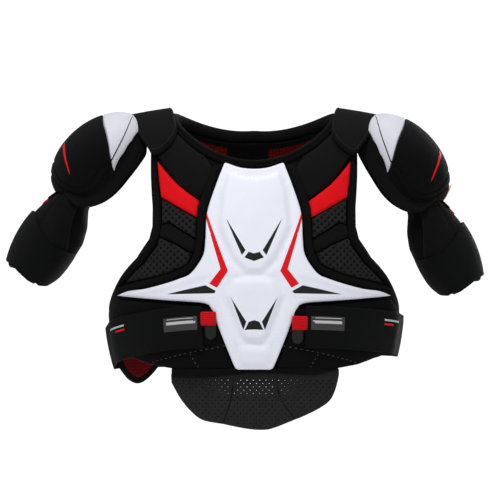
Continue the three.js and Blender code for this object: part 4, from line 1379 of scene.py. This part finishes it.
def cap_tag():
    """The orange tab with its red tail, on the left cap only."""
    tag = [cap(scaled([(s, t)], DOME_SCALE), height)[0] for s, t, height in CAP_TAG]
    out = unit(np.subtract(tag[1], cap(scaled([CAP_TAG[1][:2]], DOME_SCALE), 0)[0]))
    for name, look, part in (("cap_tag_tail", RED_RIBBED, tag[:3]), ("cap_tag", ORANGE_TAB, tag[2:])):
        path = spaced(bend(part, 3), 1.5)
        form = tube(path, np.tile(out, (len(path), 1)), oval(2.6, 0.45, 12))
        show(name, form, look, "cap_left", "left", hung=True)


def hard_parts():
    """The hidden plastic sheets keep their shape and get a finish."""
    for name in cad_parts:
        if name == "sternum_insert" or name.startswith(("cap_shell", "arm_insert")):
            bpy.data.objects[name].data.materials.clear()
            bpy.data.objects[name].data.materials.append(CLEAR_PE)


# ---- Room, light and camera ---------------------------------------------------------------------


def soft_light(name, place, aim, size, power):
    data = bpy.data.lights.new(name, "AREA")
    data.shape = "DISK"
    data.size = size
    data.energy = power
    light = bpy.data.objects.new(name, data)
    light.location = place
    light.rotation_euler = (Vector(aim) - Vector(place)).to_track_quat("-Z", "Y").to_euler()
    bpy.context.scene.collection.objects.link(light)


def studio():
    bm = bmesh.new()
    bmesh.ops.create_circle(bm, cap_ends=True, segments=96, radius=2.0)
    mesh = bpy.data.meshes.new("floor")
    bm.to_mesh(mesh)
    bm.free()
    floor = bpy.data.objects.new("floor", mesh)
    floor.location.z = -0.62
    mesh.materials.append(moulded("floor_paint", (0.86, 0.86, 0.87), 0.7, 2.0, 0.05))
    bpy.context.scene.collection.objects.link(floor)

    world = bpy.data.worlds.new("studio")
    world.use_nodes = True
    nodes, links = world.node_tree.nodes, world.node_tree.links
    shown = nodes["Background"]
    shown.inputs["Color"].default_value = (1, 1, 1, 1)
    shown.inputs["Strength"].default_value = 1.1
    cast = nodes.new("ShaderNodeBackground")
    cast.inputs["Color"].default_value = (0.97, 0.98, 1, 1)
    cast.inputs["Strength"].default_value = 0.36
    path, mix = nodes.new("ShaderNodeLightPath"), nodes.new("ShaderNodeMixShader")
    links.new(path.outputs["Is Camera Ray"], mix.inputs["Fac"])
    links.new(cast.outputs["Background"], mix.inputs[1])
    links.new(shown.outputs["Background"], mix.inputs[2])
    links.new(mix.outputs["Shader"], nodes["World Output"].inputs["Surface"])
    bpy.context.scene.world = world

    soft_light("key", (-0.7, -1.7, 2.1), (0, 0, -0.15), 1.0, 44)
    soft_light("fill", (1.5, -2.4, 0.6), (0, 0, -0.15), 1.6, 11)
    soft_light("top", (0.2, 0.4, 2.0), (0, 0, -0.1), 1.4, 12)
    soft_light("rear", (0.9, 2.4, 0.2), (0, 0, -0.15), 1.6, 26)
    bpy.context.scene.view_settings.view_transform = "Standard"


def camera():
    distance_m, width = 6.0, 0.670
    data = bpy.data.cameras.new("camera")
    data.lens = data.sensor_width * distance_m / width
    data.clip_end = 50
    made = bpy.data.objects.new("camera", data)
    made.location = (-0.0054, -distance_m, -0.1648)
    made.rotation_euler = (math.pi / 2, 0, 0)
    bpy.context.scene.collection.objects.link(made)
    bpy.context.scene.camera = made


# ---- Assembly -----------------------------------------------------------------------------------

camera()
studio()
torso_layers()
sternum()
chest()
waist()
collar()
shoulders()
back()
belly_flap()
wings()
straps()
caps()
arms()
cap_tag()
hard_parts()
